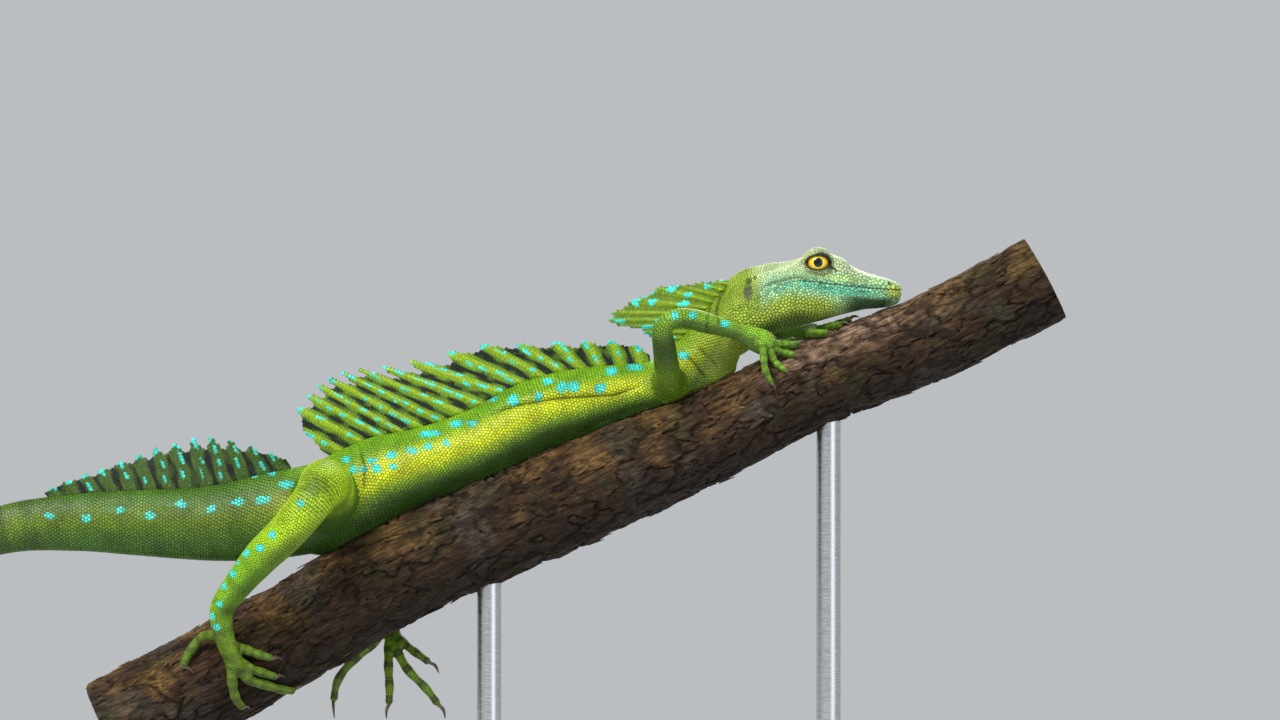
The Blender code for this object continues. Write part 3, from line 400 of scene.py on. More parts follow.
def head_corners(x):
    """Twenty corners round each head section, from the crown over the left side, as (y, z)."""
    row = curve(HEAD_ROWS, x)
    _, top, ridge, brow_z, mouth, bottom, brow, side, lip, jaw = row.T
    crown = top - ridge
    half = [
        (0 * top, top), (0.42 * brow, crown - 0.1 * (crown - brow_z)),
        (0.8 * brow, crown - 0.46 * (crown - brow_z)), (brow, brow_z),
        (side, 0.5 * (brow_z + mouth) + 0.3), (lip, mouth + LIP_HEIGHT), (lip, mouth),
        (lip - 0.15, mouth - LIP_HEIGHT), (0.55 * lip + 0.45 * jaw, 0.45 * mouth + 0.55 * bottom),
        (0.66 * jaw, bottom + 0.13 * (mouth - bottom)), (0 * top, bottom),
    ]
    half = np.moveaxis(np.array(half), -1, 0)
    other = half[:, -2:0:-1] * np.array([-1, 1])
    return np.concatenate([half, other], axis=1)


def closed_cubic(corners, turns):
    """Points on a closed smooth curve through the corners of each section."""
    count = corners.shape[1]
    along = (np.asarray(turns) / math.tau * count) % count
    i = along.astype(int)
    t = (along - i)[None, :, None]
    a, b, c, d = (corners[:, (i + k) % count] for k in (-1, 0, 1, 2))
    leave, arrive = (c - a) / 2, (d - b) / 2
    found = (2 * t ** 3 - 3 * t ** 2 + 1) * b + (t ** 3 - 2 * t ** 2 + t) * leave
    return found + (3 * t ** 2 - 2 * t ** 3) * c + (t ** 3 - t ** 2) * arrive


def head_rings(x, turns):
    outline = closed_cubic(head_corners(x), turns)
    rings = np.empty(outline.shape[:2] + (3,))
    rings[..., 0] = np.asarray(x)[:, None]
    rings[..., 1:] = outline
    return world(rings)


BODY = body_stations()
BODY_END = BODY[-1, 0]
NECK_FROM = BODY[NECK_START - 2, 0]
HEAD_START = HEAD_ROWS[0][0]
HEAD_END = HEAD_ROWS[-1][0]


def body_frame(where):
    """Middle, upward direction, half depth and half width of the body at distances from the tail tip."""
    row = curve(BODY, where)
    back = np.column_stack([row[:, 1], row[:, 5], row[:, 2]])
    belly = np.column_stack([row[:, 3], row[:, 5], row[:, 4]])
    deep = lengths(back - belly) / 2
    return (back + belly) / 2, unit(back - belly), deep, row[:, 6]


def body_rings(where, turns, grow=0):
    middle, up, deep, wide = body_frame(where)
    ends = closed_cubic(head_corners(np.array([HEAD_START])), turns)[0]
    last = BODY[-1]
    head_out = (ends[:, 1] * MM + RISE - (last[2] + last[4]) / 2) / ((last[2] - last[4]) / 2)
    head_across = ends[:, 0] * MM / last[6]
    t = np.clip((np.asarray(where) - NECK_FROM) / (BODY_END - NECK_FROM), 0, 1)
    share = (t * t * (3 - 2 * t))[:, None]
    out = np.cos(turns)[None, :]
    across = np.sin(turns)[None, :] * (1 - BACK_RIDGE * np.maximum(out, 0) ** 1.5)
    out = out + (head_out[None, :] - out) * share
    across = across + (head_across[None, :] - across) * share
    return (middle[:, None] + up[:, None] * ((deep + grow)[:, None] * out)[..., None]
            + np.array([0, 1, 0]) * ((wide + grow)[:, None] * across)[..., None])


# %% Rings swept along a limb or digit
def swept_rings(rows, places, turns):
    """Rings along (distance, x, y, z, half width, half height) rows, turned with the path."""
    row = curve(rows, places)
    run = unit(curve(rows, np.asarray(places) + ROW_STEP)[:, 1:4]
               - curve(rows, np.asarray(places) - ROW_STEP)[:, 1:4])
    rings = []
    across = np.cross(run[0], (0, 0, 1))
    if np.linalg.norm(across) < 0.3:
        across = np.cross(run[0], (1, 0, 0))
    for k, way in enumerate(run):
        across = unit(across - way * across.dot(way))
        along = np.cross(way, across)
        rings.append(row[k, 1:4] + across * (np.cos(turns) * row[k, 4])[:, None]
                     + along * (np.sin(turns) * row[k, 5])[:, None])
    return np.array(rings)


def limb_rows(points):
    points = np.asarray(points, float)
    rows = np.column_stack([world(points[:, :3]), points[:, 3:] * MM])
    return with_distance(rows, rows[:, :3])


# %% The branch under the feet
BRANCH = np.array(BRANCH_ROWS) * MM + np.array([0, RISE, 0])
BRANCH_START, BRANCH_END = BRANCH[0, 0], BRANCH[-1, 0]


def bark_swell(x, turn):
    """How far the bark swells or sinks at a place, as a share of the radius."""
    chance = random.Random(BARK_SEED)
    total = 0
    for _ in range(BARK_WAVES):
        waves = chance.uniform(*BARK_PACE)
        round_it = chance.randint(1, 5)
        strength = chance.uniform(*BARK_STRENGTH)
        start = chance.uniform(0, math.tau)
        total = total + strength * np.sin(waves * x * math.tau + round_it * turn + start)
    return 1 + BARK_SWELL * total / BARK_EVEN


def branch_points(x, turn, lift=0):
    """Points over the bark: turn is 0 on top and grows toward the camera, in radians."""
    x, turn = np.broadcast_arrays(np.asarray(x, float), np.asarray(turn, float))
    row = curve(BRANCH, x.ravel())
    ahead = curve(BRANCH, np.minimum(x.ravel() + MM, BRANCH_END))
    behind = curve(BRANCH, np.maximum(x.ravel() - MM, BRANCH_START))
    run = unit(np.column_stack([ahead[:, 0] - behind[:, 0], ahead[:, 1] - behind[:, 1]]))
    reach = row[:, 2] * bark_swell(x.ravel(), turn.ravel()) + np.broadcast_to(lift, x.shape).ravel()
    out = reach * np.cos(turn.ravel())
    found = np.column_stack([x.ravel() - run[:, 1] * out, -reach * np.sin(turn.ravel()),
                             row[:, 1] + run[:, 0] * out])
    return found.reshape(x.shape + (3,))


def over_bark(x, turn, lift):
    """The point over the bark whose own x is the one asked for."""
    along = x
    for _ in range(6):
        along += x - branch_points(along, turn, lift)[0]
    return branch_points(along, turn, lift)


def digit_points(root, places, free):
    found = [world(p) if free else over_bark(p[0] * MM, math.radians(p[1]), p[2] * MM) for p in places]
    return np.array([world(root)] + found)


print("body runs", round(BODY_END, 4), "m from tail tip to nape")

# %% [markdown]
# ## One skin
#
# A living lizard has no seams, so every length of flesh is first made as a closed form, a little inside
# the solids to leave room for scales. A voxel remesh melts the forms into one surface. Creases where a
# limb leaves the trunk are then relaxed, and folds, lips and nostrils are pressed into the finished skin,
# because a remesh would have blurred them.

# %% Closed forms of the flesh
COAT_DEPTH = 0.22
FORM_GROUPS = ("body", "head", "arm_right", "arm_left", "leg_right", "leg_left",
               "hand_right", "hand_left", "foot_right", "foot_left")
BODY_GROUP, HEAD_GROUP, FIRST_LIMB, FIRST_PAW = 0, 1, 2, 6
FORM_SIDES = {"body": 72, "head": 80, "limb": 40, "digit": 18}
forms = []


def even_turns(count):
    return np.arange(count) * math.tau / count


def add_form(group, rings, along):
    """Keeps a closed run of rings with its share of the way along and round for every face."""
    forms.append((FORM_GROUPS.index(group), rings, np.asarray(along, float)))


def shrunk(rows, by):
    rows = np.array(rows, float)
    rows[:, 4:6] = np.maximum(rows[:, 4:6] - by * MM, rows[:, 4:6] * 0.55)
    return rows


def digit_form_rows(points, thick):
    """Rows of a digit with a swelling at each joint, ending just past where the claw starts."""
    knuckles = len(points) - 1
    radius = thick * (1 - (1 - DIGIT_TAPER) * np.arange(knuckles) / (knuckles - 1)) * MM
    rows = with_distance(np.column_stack([points[:-1], radius, radius]), points[:-1])
    places = np.linspace(0, rows[-1, 0], 26)
    found = curve(rows, places)
    share = places / rows[-1, 0] * (knuckles - 1)
    swell = 1 + 0.09 * np.cos(share * math.tau)
    fade = np.clip((rows[-1, 0] - places) / (0.9 * MM), 0, 1)
    swell *= 0.35 + 0.65 * np.sqrt(fade)
    return np.column_stack([places, found[:, 1:4], found[:, 4] * swell, found[:, 5] * swell])


BODY_PLACES = np.concatenate([[0.0004], np.arange(0.001, BODY_END + 0.0022, 0.0009)])
add_form("body", body_rings(BODY_PLACES, even_turns(FORM_SIDES["body"]), -COAT_DEPTH * MM), BODY_PLACES)
HEAD_PLACES = np.linspace(HEAD_START - 1.5, HEAD_END - COAT_DEPTH, 150)
head_form = head_rings(HEAD_PLACES, even_turns(FORM_SIDES["head"]))
middle_line = head_form.mean(axis=1, keepdims=True)
head_form = head_form - unit(head_form - middle_line) * COAT_DEPTH * MM
add_form("head", head_form, HEAD_PLACES)
LIMBS = (("arm_right", ARM_RIGHT), ("arm_left", ARM_LEFT), ("leg_right", LEG_RIGHT), ("leg_left", LEG_LEFT))
for group, points in LIMBS:
    rows = shrunk(limb_rows(points), COAT_DEPTH)
    places = np.linspace(0, rows[-1, 0], 110)
    add_form(group, swept_rings(rows, places, even_turns(FORM_SIDES["limb"])), places / rows[-1, 0])
PAWS = (("hand_right", HAND_RIGHT, FINGER, False), ("hand_left", HAND_LEFT, FINGER, False),
        ("foot_right", FOOT_RIGHT, TOE, False), ("foot_left", FOOT_LEFT, TOE, True))
digit_paths = []
for group, digits, thick, free in PAWS:
    for root, places in digits:
        points = digit_points(root, places, free)
        rows = shrunk(digit_form_rows(points, thick), COAT_DEPTH * 0.6)
        rings = swept_rings(rows, rows[:, 0], even_turns(FORM_SIDES["digit"]))
        add_form(group, rings, rows[:, 0] / rows[-1, 0])
        digit_paths.append((group, rows, points, thick))
print("closed forms", len(forms))


# %% Meshes from rings
def ring_faces(count, around, shift=0):
    i, k = np.meshgrid(np.arange(count - 1), np.arange(around), indexing="ij")
    a = i * around + k
    b = i * around + (k + 1) % around
    return np.stack([a, b, b + around, a + around], axis=-1).reshape(-1, 4) + shift


def tidy_normals(mesh):
    work = bmesh.new()
    work.from_mesh(mesh)
    bmesh.ops.recalc_face_normals(work, faces=work.faces)
    work.to_mesh(mesh)
    work.free()


def mesh_of(name, points, faces):
    mesh = bpy.data.meshes.new(name)
    mesh.from_pydata(np.asarray(points).tolist(), [], faces)
    return mesh


def closed_tube(name, *tubes):
    """An object through rings of points, with a flat cap at both ends of each tube."""
    faces, shift = [], 0
    for rings in tubes:
        count, around = rings.shape[:2]
        faces += ring_faces(count, around, shift).tolist()
        faces += [list(range(start, start + around)) for start in (shift, shift + (count - 1) * around)]
        shift += count * around
    mesh = mesh_of(name, np.concatenate([rings.reshape(-1, 3) for rings in tubes]), faces)
    tidy_normals(mesh)
    return add_object(name, mesh)


def tree_over(points, faces):
    return BVHTree.FromPolygons(points.tolist(), faces.tolist())


def dressed(piece, material, sharp=None):
    """Gives a piece its material and smooth faces, with edges past an angle kept sharp."""
    piece.data.materials.clear()
    piece.data.materials.append(material)
    piece.data.shade_smooth()
    if sharp:
        piece.data.set_sharp_from_angle(angle=math.radians(sharp))


def plain_mesh(made):
    """Works the modifiers of an object into its mesh and takes them off."""
    bpy.context.view_layer.update()
    graph = bpy.context.evaluated_depsgraph_get()
    mesh = bpy.data.meshes.new_from_object(made.evaluated_get(graph), depsgraph=graph)
    made.modifiers.clear()
    made.data = mesh


def taken(data, field, width, kind=float):
    """Values of a mesh's points, edges or faces as rows."""
    found = np.empty(len(data) * width, kind)
    data.foreach_get(field, found)
    return found.reshape(-1, width)


def take_points(mesh):
    return taken(mesh.vertices, "co", 3)


def take_normals(mesh):
    return taken(mesh.vertex_normals, "vector", 3, np.float32).astype(float)


def put_points(mesh, points):
    mesh.vertices.foreach_set("co", points.ravel())
    mesh.update()


def add_step(made, kind, **settings):
    """Adds a modifier with its settings."""
    step = made.modifiers.new(kind.lower(), kind)
    for name, value in settings.items():
        setattr(step, name, value)
    return step


def drop(*things):
    for thing in things:
        bpy.data.objects.remove(thing, do_unlink=True)


# %% Eyelids on the head, with the sockets cut before the melting
LID_RADIUS = 5.9
SOCKET_RADIUS = 4.85
EYE_OPEN = (9, 5)
LID_FLAT = 0.935
EYE_POINTED = 0.25


def ball(name, middle, radius, segments=48, flat=1):
    work = bmesh.new()
    bmesh.ops.create_uvsphere(work, u_segments=segments, v_segments=segments // 2, radius=radius * MM)
    bmesh.ops.rotate(work, verts=work.verts, matrix=Matrix.Rotation(math.pi / 2, 3, "X"))
    bmesh.ops.scale(work, verts=work.verts, vec=(1, 1, flat))
    bmesh.ops.translate(work, verts=work.verts, vec=Vector(world(middle)))
    return object_from(name, work)


def eye_opening(side):
    """The almond between the lids as a closed prism."""
    turns = even_turns(40)
    x = EYE_PLACE[0] + EYE_OPEN[0] / 2 * np.cos(turns)
    z = EYE_PLACE[2] + EYE_OPEN[1] / 2 * np.sin(turns) * (1 - EYE_POINTED * np.cos(turns) ** 2)
    rings = [np.column_stack([x, np.full(40, y * side), z]) for y in (EYE_PLACE[1] + 1, 18)]
    return closed_tube("opening", world(np.array(rings)))


def join_by(made, others, operation):
    for other in others:
        add_step(made, "BOOLEAN", operation=operation, solver="EXACT", object=other)
    plain_mesh(made)
    drop(*others)


head_made = closed_tube("head_form", forms[HEAD_GROUP][1])
EYE_PLACES = [(EYE_PLACE[0], EYE_PLACE[1] * side, EYE_PLACE[2]) for side in (-1, 1)]
join_by(head_made, [ball("lid", place, LID_RADIUS, flat=LID_FLAT) for place in EYE_PLACES], "UNION")
hollows = [ball("socket", place, SOCKET_RADIUS) for place in EYE_PLACES]
join_by(head_made, hollows + [eye_opening(s) for s in (-1, 1)], "DIFFERENCE")
timed("head form", len(head_made.data.vertices), "points")

# %% Melt the forms into one skin
VOXEL = 0.4


def melted(name, pieces, voxel):
    """One closed surface round all the pieces."""
    work = bmesh.new()
    for piece in pieces:
        work.from_mesh(piece.data)
    made = object_from(name, work)
    add_step(made, "REMESH", mode="VOXEL", voxel_size=voxel * MM)
    plain_mesh(made)
    drop(*pieces)
    return made


pieces = [head_made] + [closed_tube("form", rings) for group, rings, _ in forms if group != HEAD_GROUP]
skin = melted("skin", pieces, VOXEL)
timed("melted skin", len(skin.data.vertices), "points")


# %% Relax the surface, most of all in the creases
def mean_of_neighbours(values, pairs, valence):
    a, b = pairs.T
    size = len(values)
    total = [np.bincount(a, values[b, k], size) + np.bincount(b, values[a, k], size)
             for k in range(values.shape[1])]
    return np.column_stack(total) / valence[:, None]


def relax(points, pairs, weight, rounds):
    """Moves the points that have a weight toward the middle of their neighbours."""
    used, numbers = np.unique(pairs[(weight[pairs] > 0).any(axis=1)], return_inverse=True)
    numbers = numbers.reshape(-1, 2)
    valence = np.maximum(np.bincount(numbers.ravel(), minlength=len(used)), 1)
    part, share = points[used], weight[used][:, None]
    for _ in range(rounds):
        part = part + share * (mean_of_neighbours(part, numbers, valence) - part)
    points = points.copy()
    points[used] = part
    return points


def near(points, x, y, z, reach):
    """1 at a place in millimetres, falling to 0 at the reach."""
    away = lengths(points - world((x, y, z))) / (reach * MM)
    return np.clip(1 - away, 0, 1)


LIMB_JOINS = (
    # x, y, z and reach in mm where a limb leaves the trunk or folds
    (11, -8.5, -8.5, 10.5), (12.8, 11, -7, 10.5), (-116, -13, -50, 17), (-114.5, 13, -53, 17),
    (-118.5, -43.5, -55, 8.5), (-91.5, 39, -55, 8.5),
)
FIRST_ROUNDS, CREASE_ROUNDS, JOIN_ROUNDS = 6, 42, 240
CREASE_SPREAD = 9
EYE_CALM = 8.5


def relax_skin(skin):
    mesh = skin.data
    points = take_points(mesh)
    normals = take_normals(mesh)
    pairs = taken(mesh.edges, "vertices", 2, np.int32)
    valence = np.maximum(np.bincount(pairs.ravel(), minlength=len(points)), 1)
    by_eye = np.max([near(points, *place, EYE_CALM) for place in EYE_PLACES], axis=0)
    calm = np.clip(by_eye * 4, 0, 1)
    points = relax(points, pairs, 0.5 * (1 - 0.6 * calm), FIRST_ROUNDS)
    bend = ((mean_of_neighbours(points, pairs, valence) - points) * normals).sum(axis=1)
    crease = np.clip(bend / (0.02 * MM), 0, 1)[:, None]
    for _ in range(CREASE_SPREAD):
        crease = np.maximum(crease, mean_of_neighbours(crease, pairs, valence) * 1.12)
    crease = np.clip(crease[:, 0], 0, 1) * (1 - calm)
    points = relax(points, pairs, 0.6 * crease, CREASE_ROUNDS)
    soft = np.max([near(points, *join) for join in LIMB_JOINS], axis=0)
    points = relax(points, pairs, 0.6 * np.clip(soft * 2.5, 0, 1), JOIN_ROUNDS)
    put_points(mesh, points)


relax_skin(skin)
timed("relaxed")

# %% [markdown]
# ## Folds, lips and bulges
#
# The remesh gives a clean surface but no character. A crease is a polyline pressed in along the skin's
# own normals, a bulge is an ellipsoid pushed out, and the mouth is a line that follows the lips round the
# snout. Moving finished points keeps these edges as sharp as the mesh allows, which is why this comes
# after the melting, and before the body is thinned out.

# %% Creases and bulges
CREASES = (
    # sides, width, depth, points (x, z); a negative depth raises a ridge
    ((-1, 1), 0.8, 1.25, ((-57.1, -20.6), (-45.6, -16.7), (-30.1, -14.1), (-9.6, -13), (2, -9))),
    ((-1, 1), 1.9, -0.55, ((-54, -17.6), (-44, -13.9), (-30, -11.3), (-12, -10.2))),
    ((-1,), 0.7, 0.9, ((16.7, 2.2), (20.8, -2), (24.9, -7.2))),
    ((-1,), 0.6, 0.5, ((20.6, 5.4), (26.2, 0.6), (29.4, -3.6))),
    ((-1, 1), 0.8, 0.7, ((32.6, 28), (29.6, 23), (28.2, 17.8), (29.4, 11))),
    ((-1, 1), 0.6, 0.45, ((27, 21.5), (24.6, 15.5), (24.4, 9.5))),
    ((-1, 1), 0.8, 0.55, ((44.6, 26.6), (49, 28.6), (57.1, 30.6), (62.6, 30.2))),
    ((-1, 1), 0.7, 0.55, ((-104, -32.5), (-101.5, -40), (-101.8, -49))),
    ((-1, 1), 0.5, 0.35, ((-99.6, -34), (-97.8, -41), (-97.8, -47))),
    ((-1, 1), 0.55, -0.3, ((71, 37.4), (77, 33.6), (83, 31), (90, 29))),
    ((-1, 1), 0.9, 0.3, ((74, 31.6), (80, 29.6), (86, 28.4))),
)
BULGES = (
    # x, y, z, reach, height
    ((51, 12, 21.5), 9.5, 0.85),
    ((47.5, 11, 13), 8, 0.5),
    ((66.5, 8.6, 41), 4.6, 0.25),
    ((75.2, 6.6, 35.4), 5.2, 1.3),
    ((38.5, 0, 31), 8, 1.1),
    ((57.5, 10, 34), 4.5, -0.35),
    ((39.9, 11.6, 25), 2.6, -0.55),
    ((93.4, 0, 23.2), 4.5, 0.25),
    ((-112, 12, -46), 13, 0.6),
    ((37.5, 0, 3), 10, 2),
    ((-131, 45.5, -66), 9, 0.6),
    ((22, 23.5, 14), 7, 0.35),
)
SHADED_DEPTH = 0.45
MOUTH_FROM = 56.5
MOUTH_DEPTH = 0.62
MOUTH_WIDTH = 0.3
LIP_SWELL = 0.28
NOSTRIL = (92.2, 4.3, 28.4)
EAR_PLACE = (39.9, 25)
EAR_DOTS = ((40.3, 29.3, 1.3), (42.4, 30.4, 0.8))
EYE_SLIT = ((70.4, 34.3), (72.3, 33.4))


def ease(low, high, value):
    """A smooth rise from 0 at low to 1 at high, or a fall where low is the greater."""
    t = np.clip((value - low) / (high - low), 0, 1)
    return t * t * (3 - 2 * t)


def hump(value, middle, width):
    """1 at the middle, falling off smoothly over a width."""
    return np.exp(-((value - middle) / width) ** 2)


def polyline_distance(points, line):
    """Distance in millimetres of (x, z) points from a polyline, with the share of the way along."""
    best = np.full(len(points), 1e9)
    along = np.zeros(len(points))
    line = np.asarray(line, float)
    for i, (a, b) in enumerate(zip(line, line[1:])):
        t = np.clip(((points - a) @ (b - a)) / ((b - a) @ (b - a)), 0, 1)
        away = lengths(points - a - t[:, None] * (b - a))
        nearer = away < best
        best[nearer] = away[nearer]
        along[nearer] = (i + t[nearer]) / (len(line) - 1)
    return best, along


def millimetres(points):
    return (points - np.array([0, 0, RISE])) / MM


def mouth_line(x):
    return curve(HEAD_ROWS, x)[:, 4]


def along_crease(at, line, width):
    """How much each place lies in a crease: 1 in its middle, 0 past its width and its ends."""
    away, along = polyline_distance(at[:, [0, 2]], line)
    return hump(away, 0, width) * np.clip(np.minimum(along, 1 - along) * 6, 0, 1)


def press_details(points, normals):
    """How far each point moves along its normal, in millimetres."""
    at = millimetres(points)
    move = np.zeros(len(at))
    for sides, width, depth, line in CREASES:
        pressed = depth * along_crease(at, line, width)
        for side in sides:
            move -= pressed * np.clip(normals[:, 1] * side * 3, 0, 1) * (np.abs(at[:, 1]) < 16)
    for place, reach, height in BULGES:
        for side in ((-1, 1) if place[1] else (1,)):
            away = lengths(at - np.array(place) * (1, side, 1)) / reach
            move += height * np.clip(1 - away ** 2, 0, 1) ** 2
    in_head = at[:, 0] > MOUTH_FROM - 2
    rise = at[:, 2] - mouth_line(at[:, 0])
    fade = np.clip((at[:, 0] - MOUTH_FROM) / 4, 0, 1) * in_head
    fade *= np.clip(1.4 - np.abs(normals[:, 2]) * 1.2, 0, 1)
    move -= MOUTH_DEPTH * hump(rise, 0, MOUTH_WIDTH) * fade
    move += LIP_SWELL * hump(np.abs(rise), 1.15, 0.6) * fade
    for side in (-1, 1):
        away = lengths(at - np.array(NOSTRIL) * (1, side, 1))
        move += 0.2 * hump(away, 1.1, 0.5) - 0.75 * hump(away, 0, 0.62)
    return move


def press_skin(skin):
    points, normals = take_points(skin.data), take_normals(skin.data)
    move = press_details(points, normals)
    put_points(skin.data, points + normals * move[:, None] * MM)
    return move


moved = press_skin(skin)
print("pressed between", round(moved.min(), 2), "and", round(moved.max(), 2), "mm")


# %% Rest the belly, palms and soles on the bark
REST_ABOVE = 0.12
REST_FROM = (2.6, 1)
REST_BEHIND = -0.21
BARK_GRID = (240, 90)


def rest_on_bark(skin):
    """Skin that hangs just over the bark, facing it, is let down onto it."""
    along, around = np.linspace(BRANCH_START, BRANCH_END, BARK_GRID[0]), even_turns(BARK_GRID[1])
    x, turn = np.meshgrid(along, around, indexing="ij")
    rings = branch_points(x, turn).reshape(-1, 3)
    bark = tree_over(rings, ring_faces(*BARK_GRID))
    points, normals = take_points(skin.data), take_normals(skin.data)
    moved = 0
    for i in np.nonzero((points[:, 0] > REST_BEHIND) & (normals[:, 2] < 0.45))[0].tolist():
        place, _, _, away = bark.find_nearest(points[i].tolist(), REST_FROM[0] * MM)
        if place is None:
            continue
        toward = np.array(place) - points[i]
        if toward.dot(normals[i]) < 0.3 * away:
            continue
        share = float(ease(REST_FROM[0], REST_FROM[1], away / MM))
        points[i] += toward * max(0, 1 - REST_ABOVE * MM / max(away, 1e-9)) * share
        moved += 1
    put_points(skin.data, points)
    return moved


print("let down on the bark", rest_on_bark(skin), "points")

# %% Thin out the body and keep the head fine
SKIN_TRIANGLES = 186000
HEAD_KEEP_FROM = 33


def thin_out(made, target):
    """Collapses edges until the triangle target is met, the head last."""
    at = millimetres(take_points(made.data))
    keep = np.clip((at[:, 0] - HEAD_KEEP_FROM) / 4, 0, 1) * (at[:, 2] > 2)
    keep *= (at[:, 2] > at[:, 0] * 0.45 - 14)
    group = made.vertex_groups.new(name="thin")
    for level in (0.25, 1):
        chosen = np.nonzero((1 - keep > level - 0.5) & (1 - keep <= level + 0.01))[0]
        group.add(chosen.tolist(), level, "REPLACE")
    add_step(made, "DECIMATE", ratio=target / (len(made.data.polygons) * 2), vertex_group="thin")
    plain_mesh(made)
    made.vertex_groups.clear()


thin_out(skin, SKIN_TRIANGLES)
skin_points, skin_normals = take_points(skin.data), take_normals(skin.data)
skin.data.calc_loop_triangles()
timed("skin", len(skin.data.loop_triangles), "triangles")

# %% Where on the body each point of the skin belongs
def laid_out_forms():
    """One soup of all form faces, each with its group, share along, turn and direction of the lie."""
    points, faces, tags, shift = [], [], [], 0
    for group, rings, along in forms:
        count, around = rings.shape[:2]
        points.append(rings.reshape(-1, 3))
        faces.append(ring_faces(count, around, shift))
        shift += count * around
        run = unit(np.gradient(rings.mean(axis=1), axis=0))
        i = np.arange(count - 1).repeat(around)
        turn = np.tile((np.arange(around) + 0.5) / around * math.tau, count - 1)
        tags.append(np.column_stack([np.full(i.size, group), along[i], turn, run[i]]))
    return np.concatenate(points), np.concatenate(faces), np.concatenate(tags)


form_points, form_faces, form_tags = laid_out_forms()
form_tree = tree_over(form_points, form_faces)


def tags_of(points):
    """Group, share along, turn and run of the nearest form for each point."""
    return form_tags[[form_tree.find_nearest(p)[2] for p in points.tolist()]]


skin_tags = tags_of(skin_points)
for index, group in enumerate(FORM_GROUPS):
    print(group, int((skin_tags[:, 0] == index).sum()), "skin points")
timed("nearest forms found")

# %% [markdown]
# ## Markings
#
# Skin and scales must carry the same pattern, so the pattern is one function of where a point sits: how
# far along and round the body, and at which height on the head. Each region blends a few named colours;
# some of them lay painted shade on undersides, folds, arms, lids and nostrils, and painted light on the knee.
# The turquoise spots are listed where the photograph shows them, as places in millimetres, and mirrored
# to the far side, which nobody photographed.

# %% Named colours
COLOURS = {
    "back": (0.2, 0.44, 0.012),
    "flank": (0.56, 0.66, 0.01),
    # low_flank and belly: the lower body's darker green, partly painted shade; low_flank is also painted
    # shade round the arm roots, belly under the legs
    "low_flank": (0.17, 0.3, 0.008),
    "belly": (0.034, 0.082, 0.009),
    # tail_root: dark green of the hips and tail base, partly painted shade
    "tail_root": (0.05, 0.135, 0.012),
    "tail_light": (0.13, 0.21, 0.022),
    "tail_dark": (0.035, 0.055, 0.016),
    "tail_end": (0.15, 0.125, 0.045),
    "nape": (0.33, 0.48, 0.035),
    "crown": (0.52, 0.66, 0.33),
    "snout": (0.62, 0.76, 0.46),
    "snout_tip": (0.6, 0.7, 0.1),
    "cheek": (0.36, 0.62, 0.3),
    "aqua": (0.1, 0.5, 0.34),
    "throat": (0.36, 0.49, 0.05),
    "under_jaw": (0.018, 0.055, 0.014),
    "ear": (0.2, 0.25, 0.12),
    "dark": (0.012, 0.02, 0.006),
    "eye_rim": (0.52, 0.6, 0.3),
    "arm": (0.24, 0.48, 0.03),
    # painted shade on the upper arm and under the forearm
    "arm_under": (0.045, 0.092, 0.012),
    "thigh": (0.1, 0.26, 0.01),
    # knee: painted light, brighter than thigh and shin
    "knee": (0.4, 0.62, 0.012),
    "shin": (0.24, 0.52, 0.01),
    "foot": (0.16, 0.28, 0.012),
    # toe_dark: bands on legs and digits, and painted shade under the digits
    "toe_dark": (0.03, 0.05, 0.012),
    "spot": (0.07, 0.8, 0.7),
    "knee_shade": (0.075, 0.165, 0.008),
    "claw_root": (0.1, 0.075, 0.035),
    "claw_tip": (0.022, 0.016, 0.01),
    "ray": (0.155, 0.3, 0.012),
    # painted highlight along the ridge of each ray
    "ray_painted_highlight": (0.34, 0.52, 0.018),
    "web": (0.03, 0.06, 0.01),
    "web_dark": (0.006, 0.013, 0.005),
    "tail_ray": (0.06, 0.12, 0.018),
    "crest": (0.195, 0.33, 0.014),
    "crest_dark": (0.075, 0.15, 0.014),
    "bark": (0.044, 0.024, 0.012),
    # ochre top of the bark, partly wear and partly painted light
    "bark_worn_and_lit": (0.15, 0.086, 0.03),
    # painted shade under the branch, in its cracks and in the sawn ends' splits
    "bark_painted_shade": (0.007, 0.004, 0.003),
    "bark_pale": (0.27, 0.175, 0.12),
    "bark_grey": (0.06, 0.048, 0.038),
    "bark_moss": (0.04, 0.05, 0.012),
    "sawn": (0.42, 0.28, 0.15),
    "sawn_ring": (0.25, 0.145, 0.065),
}
SPOTS = (
    # x, z, half length, half height, in millimetres
    (-46.7, -14.8, 1.9, 1.5), (-37.5, -13.4, 0.9, 1.1), (-29, -10.2, 1.5, 1.5), (-24.6, -9.8, 1.6, 1.5),
    (-14.5, -10.4, 1.5, 1.5), (-10.4, -4.1, 1.9, 1.1), (-1.9, -2.6, 2.6, 0.9), (-34.1, -7.8, 1.5, 0.8),
    (-54.5, -14.2, 1.5, 0.8), (-67.9, -23.7, 1.9, 0.9), (-62, -23.4, 1.5, 0.8), (-79, -27.4, 1.9, 0.8),
    (-75.3, -27.1, 1.1, 0.8), (-78.3, -31.9, 1.1, 0.9), (-84.2, -33.4, 1.9, 0.8), (-91.6, -35.2, 1.9, 0.8),
    (-90.9, -39.3, 1.1, 0.8), (-97.2, -40.1, 1.5, 0.9), (-102, -40.1, 1.1, 0.9), (-105.7, -40.4, 1.1, 1.1),
    (-99.1, -37.1, 1.5, 0.7), (-108.7, -36.7, 1.1, 0.7), (-71.5, -30.5, 1, 0.6), (16, 1.8, 1.6, 1),
    (-130.9, -46, 2.2, 1.1), (-139.9, -51.6, 2.4, 1.1), (-148.8, -52.7, 1.5, 1.1), (-143.2, -42.3, 1.1, 0.9),
    (-136.5, -41.9, 1.1, 0.9), (-158.6, -55, 1.6, 1), (-170.2, -53.4, 1.8, 1), (-181.7, -57.8, 1.6, 1),
    (-193, -55.6, 1.5, 0.9), (-205.4, -58.9, 1.4, 0.9), (-219.6, -58, 1.2, 0.8),
)
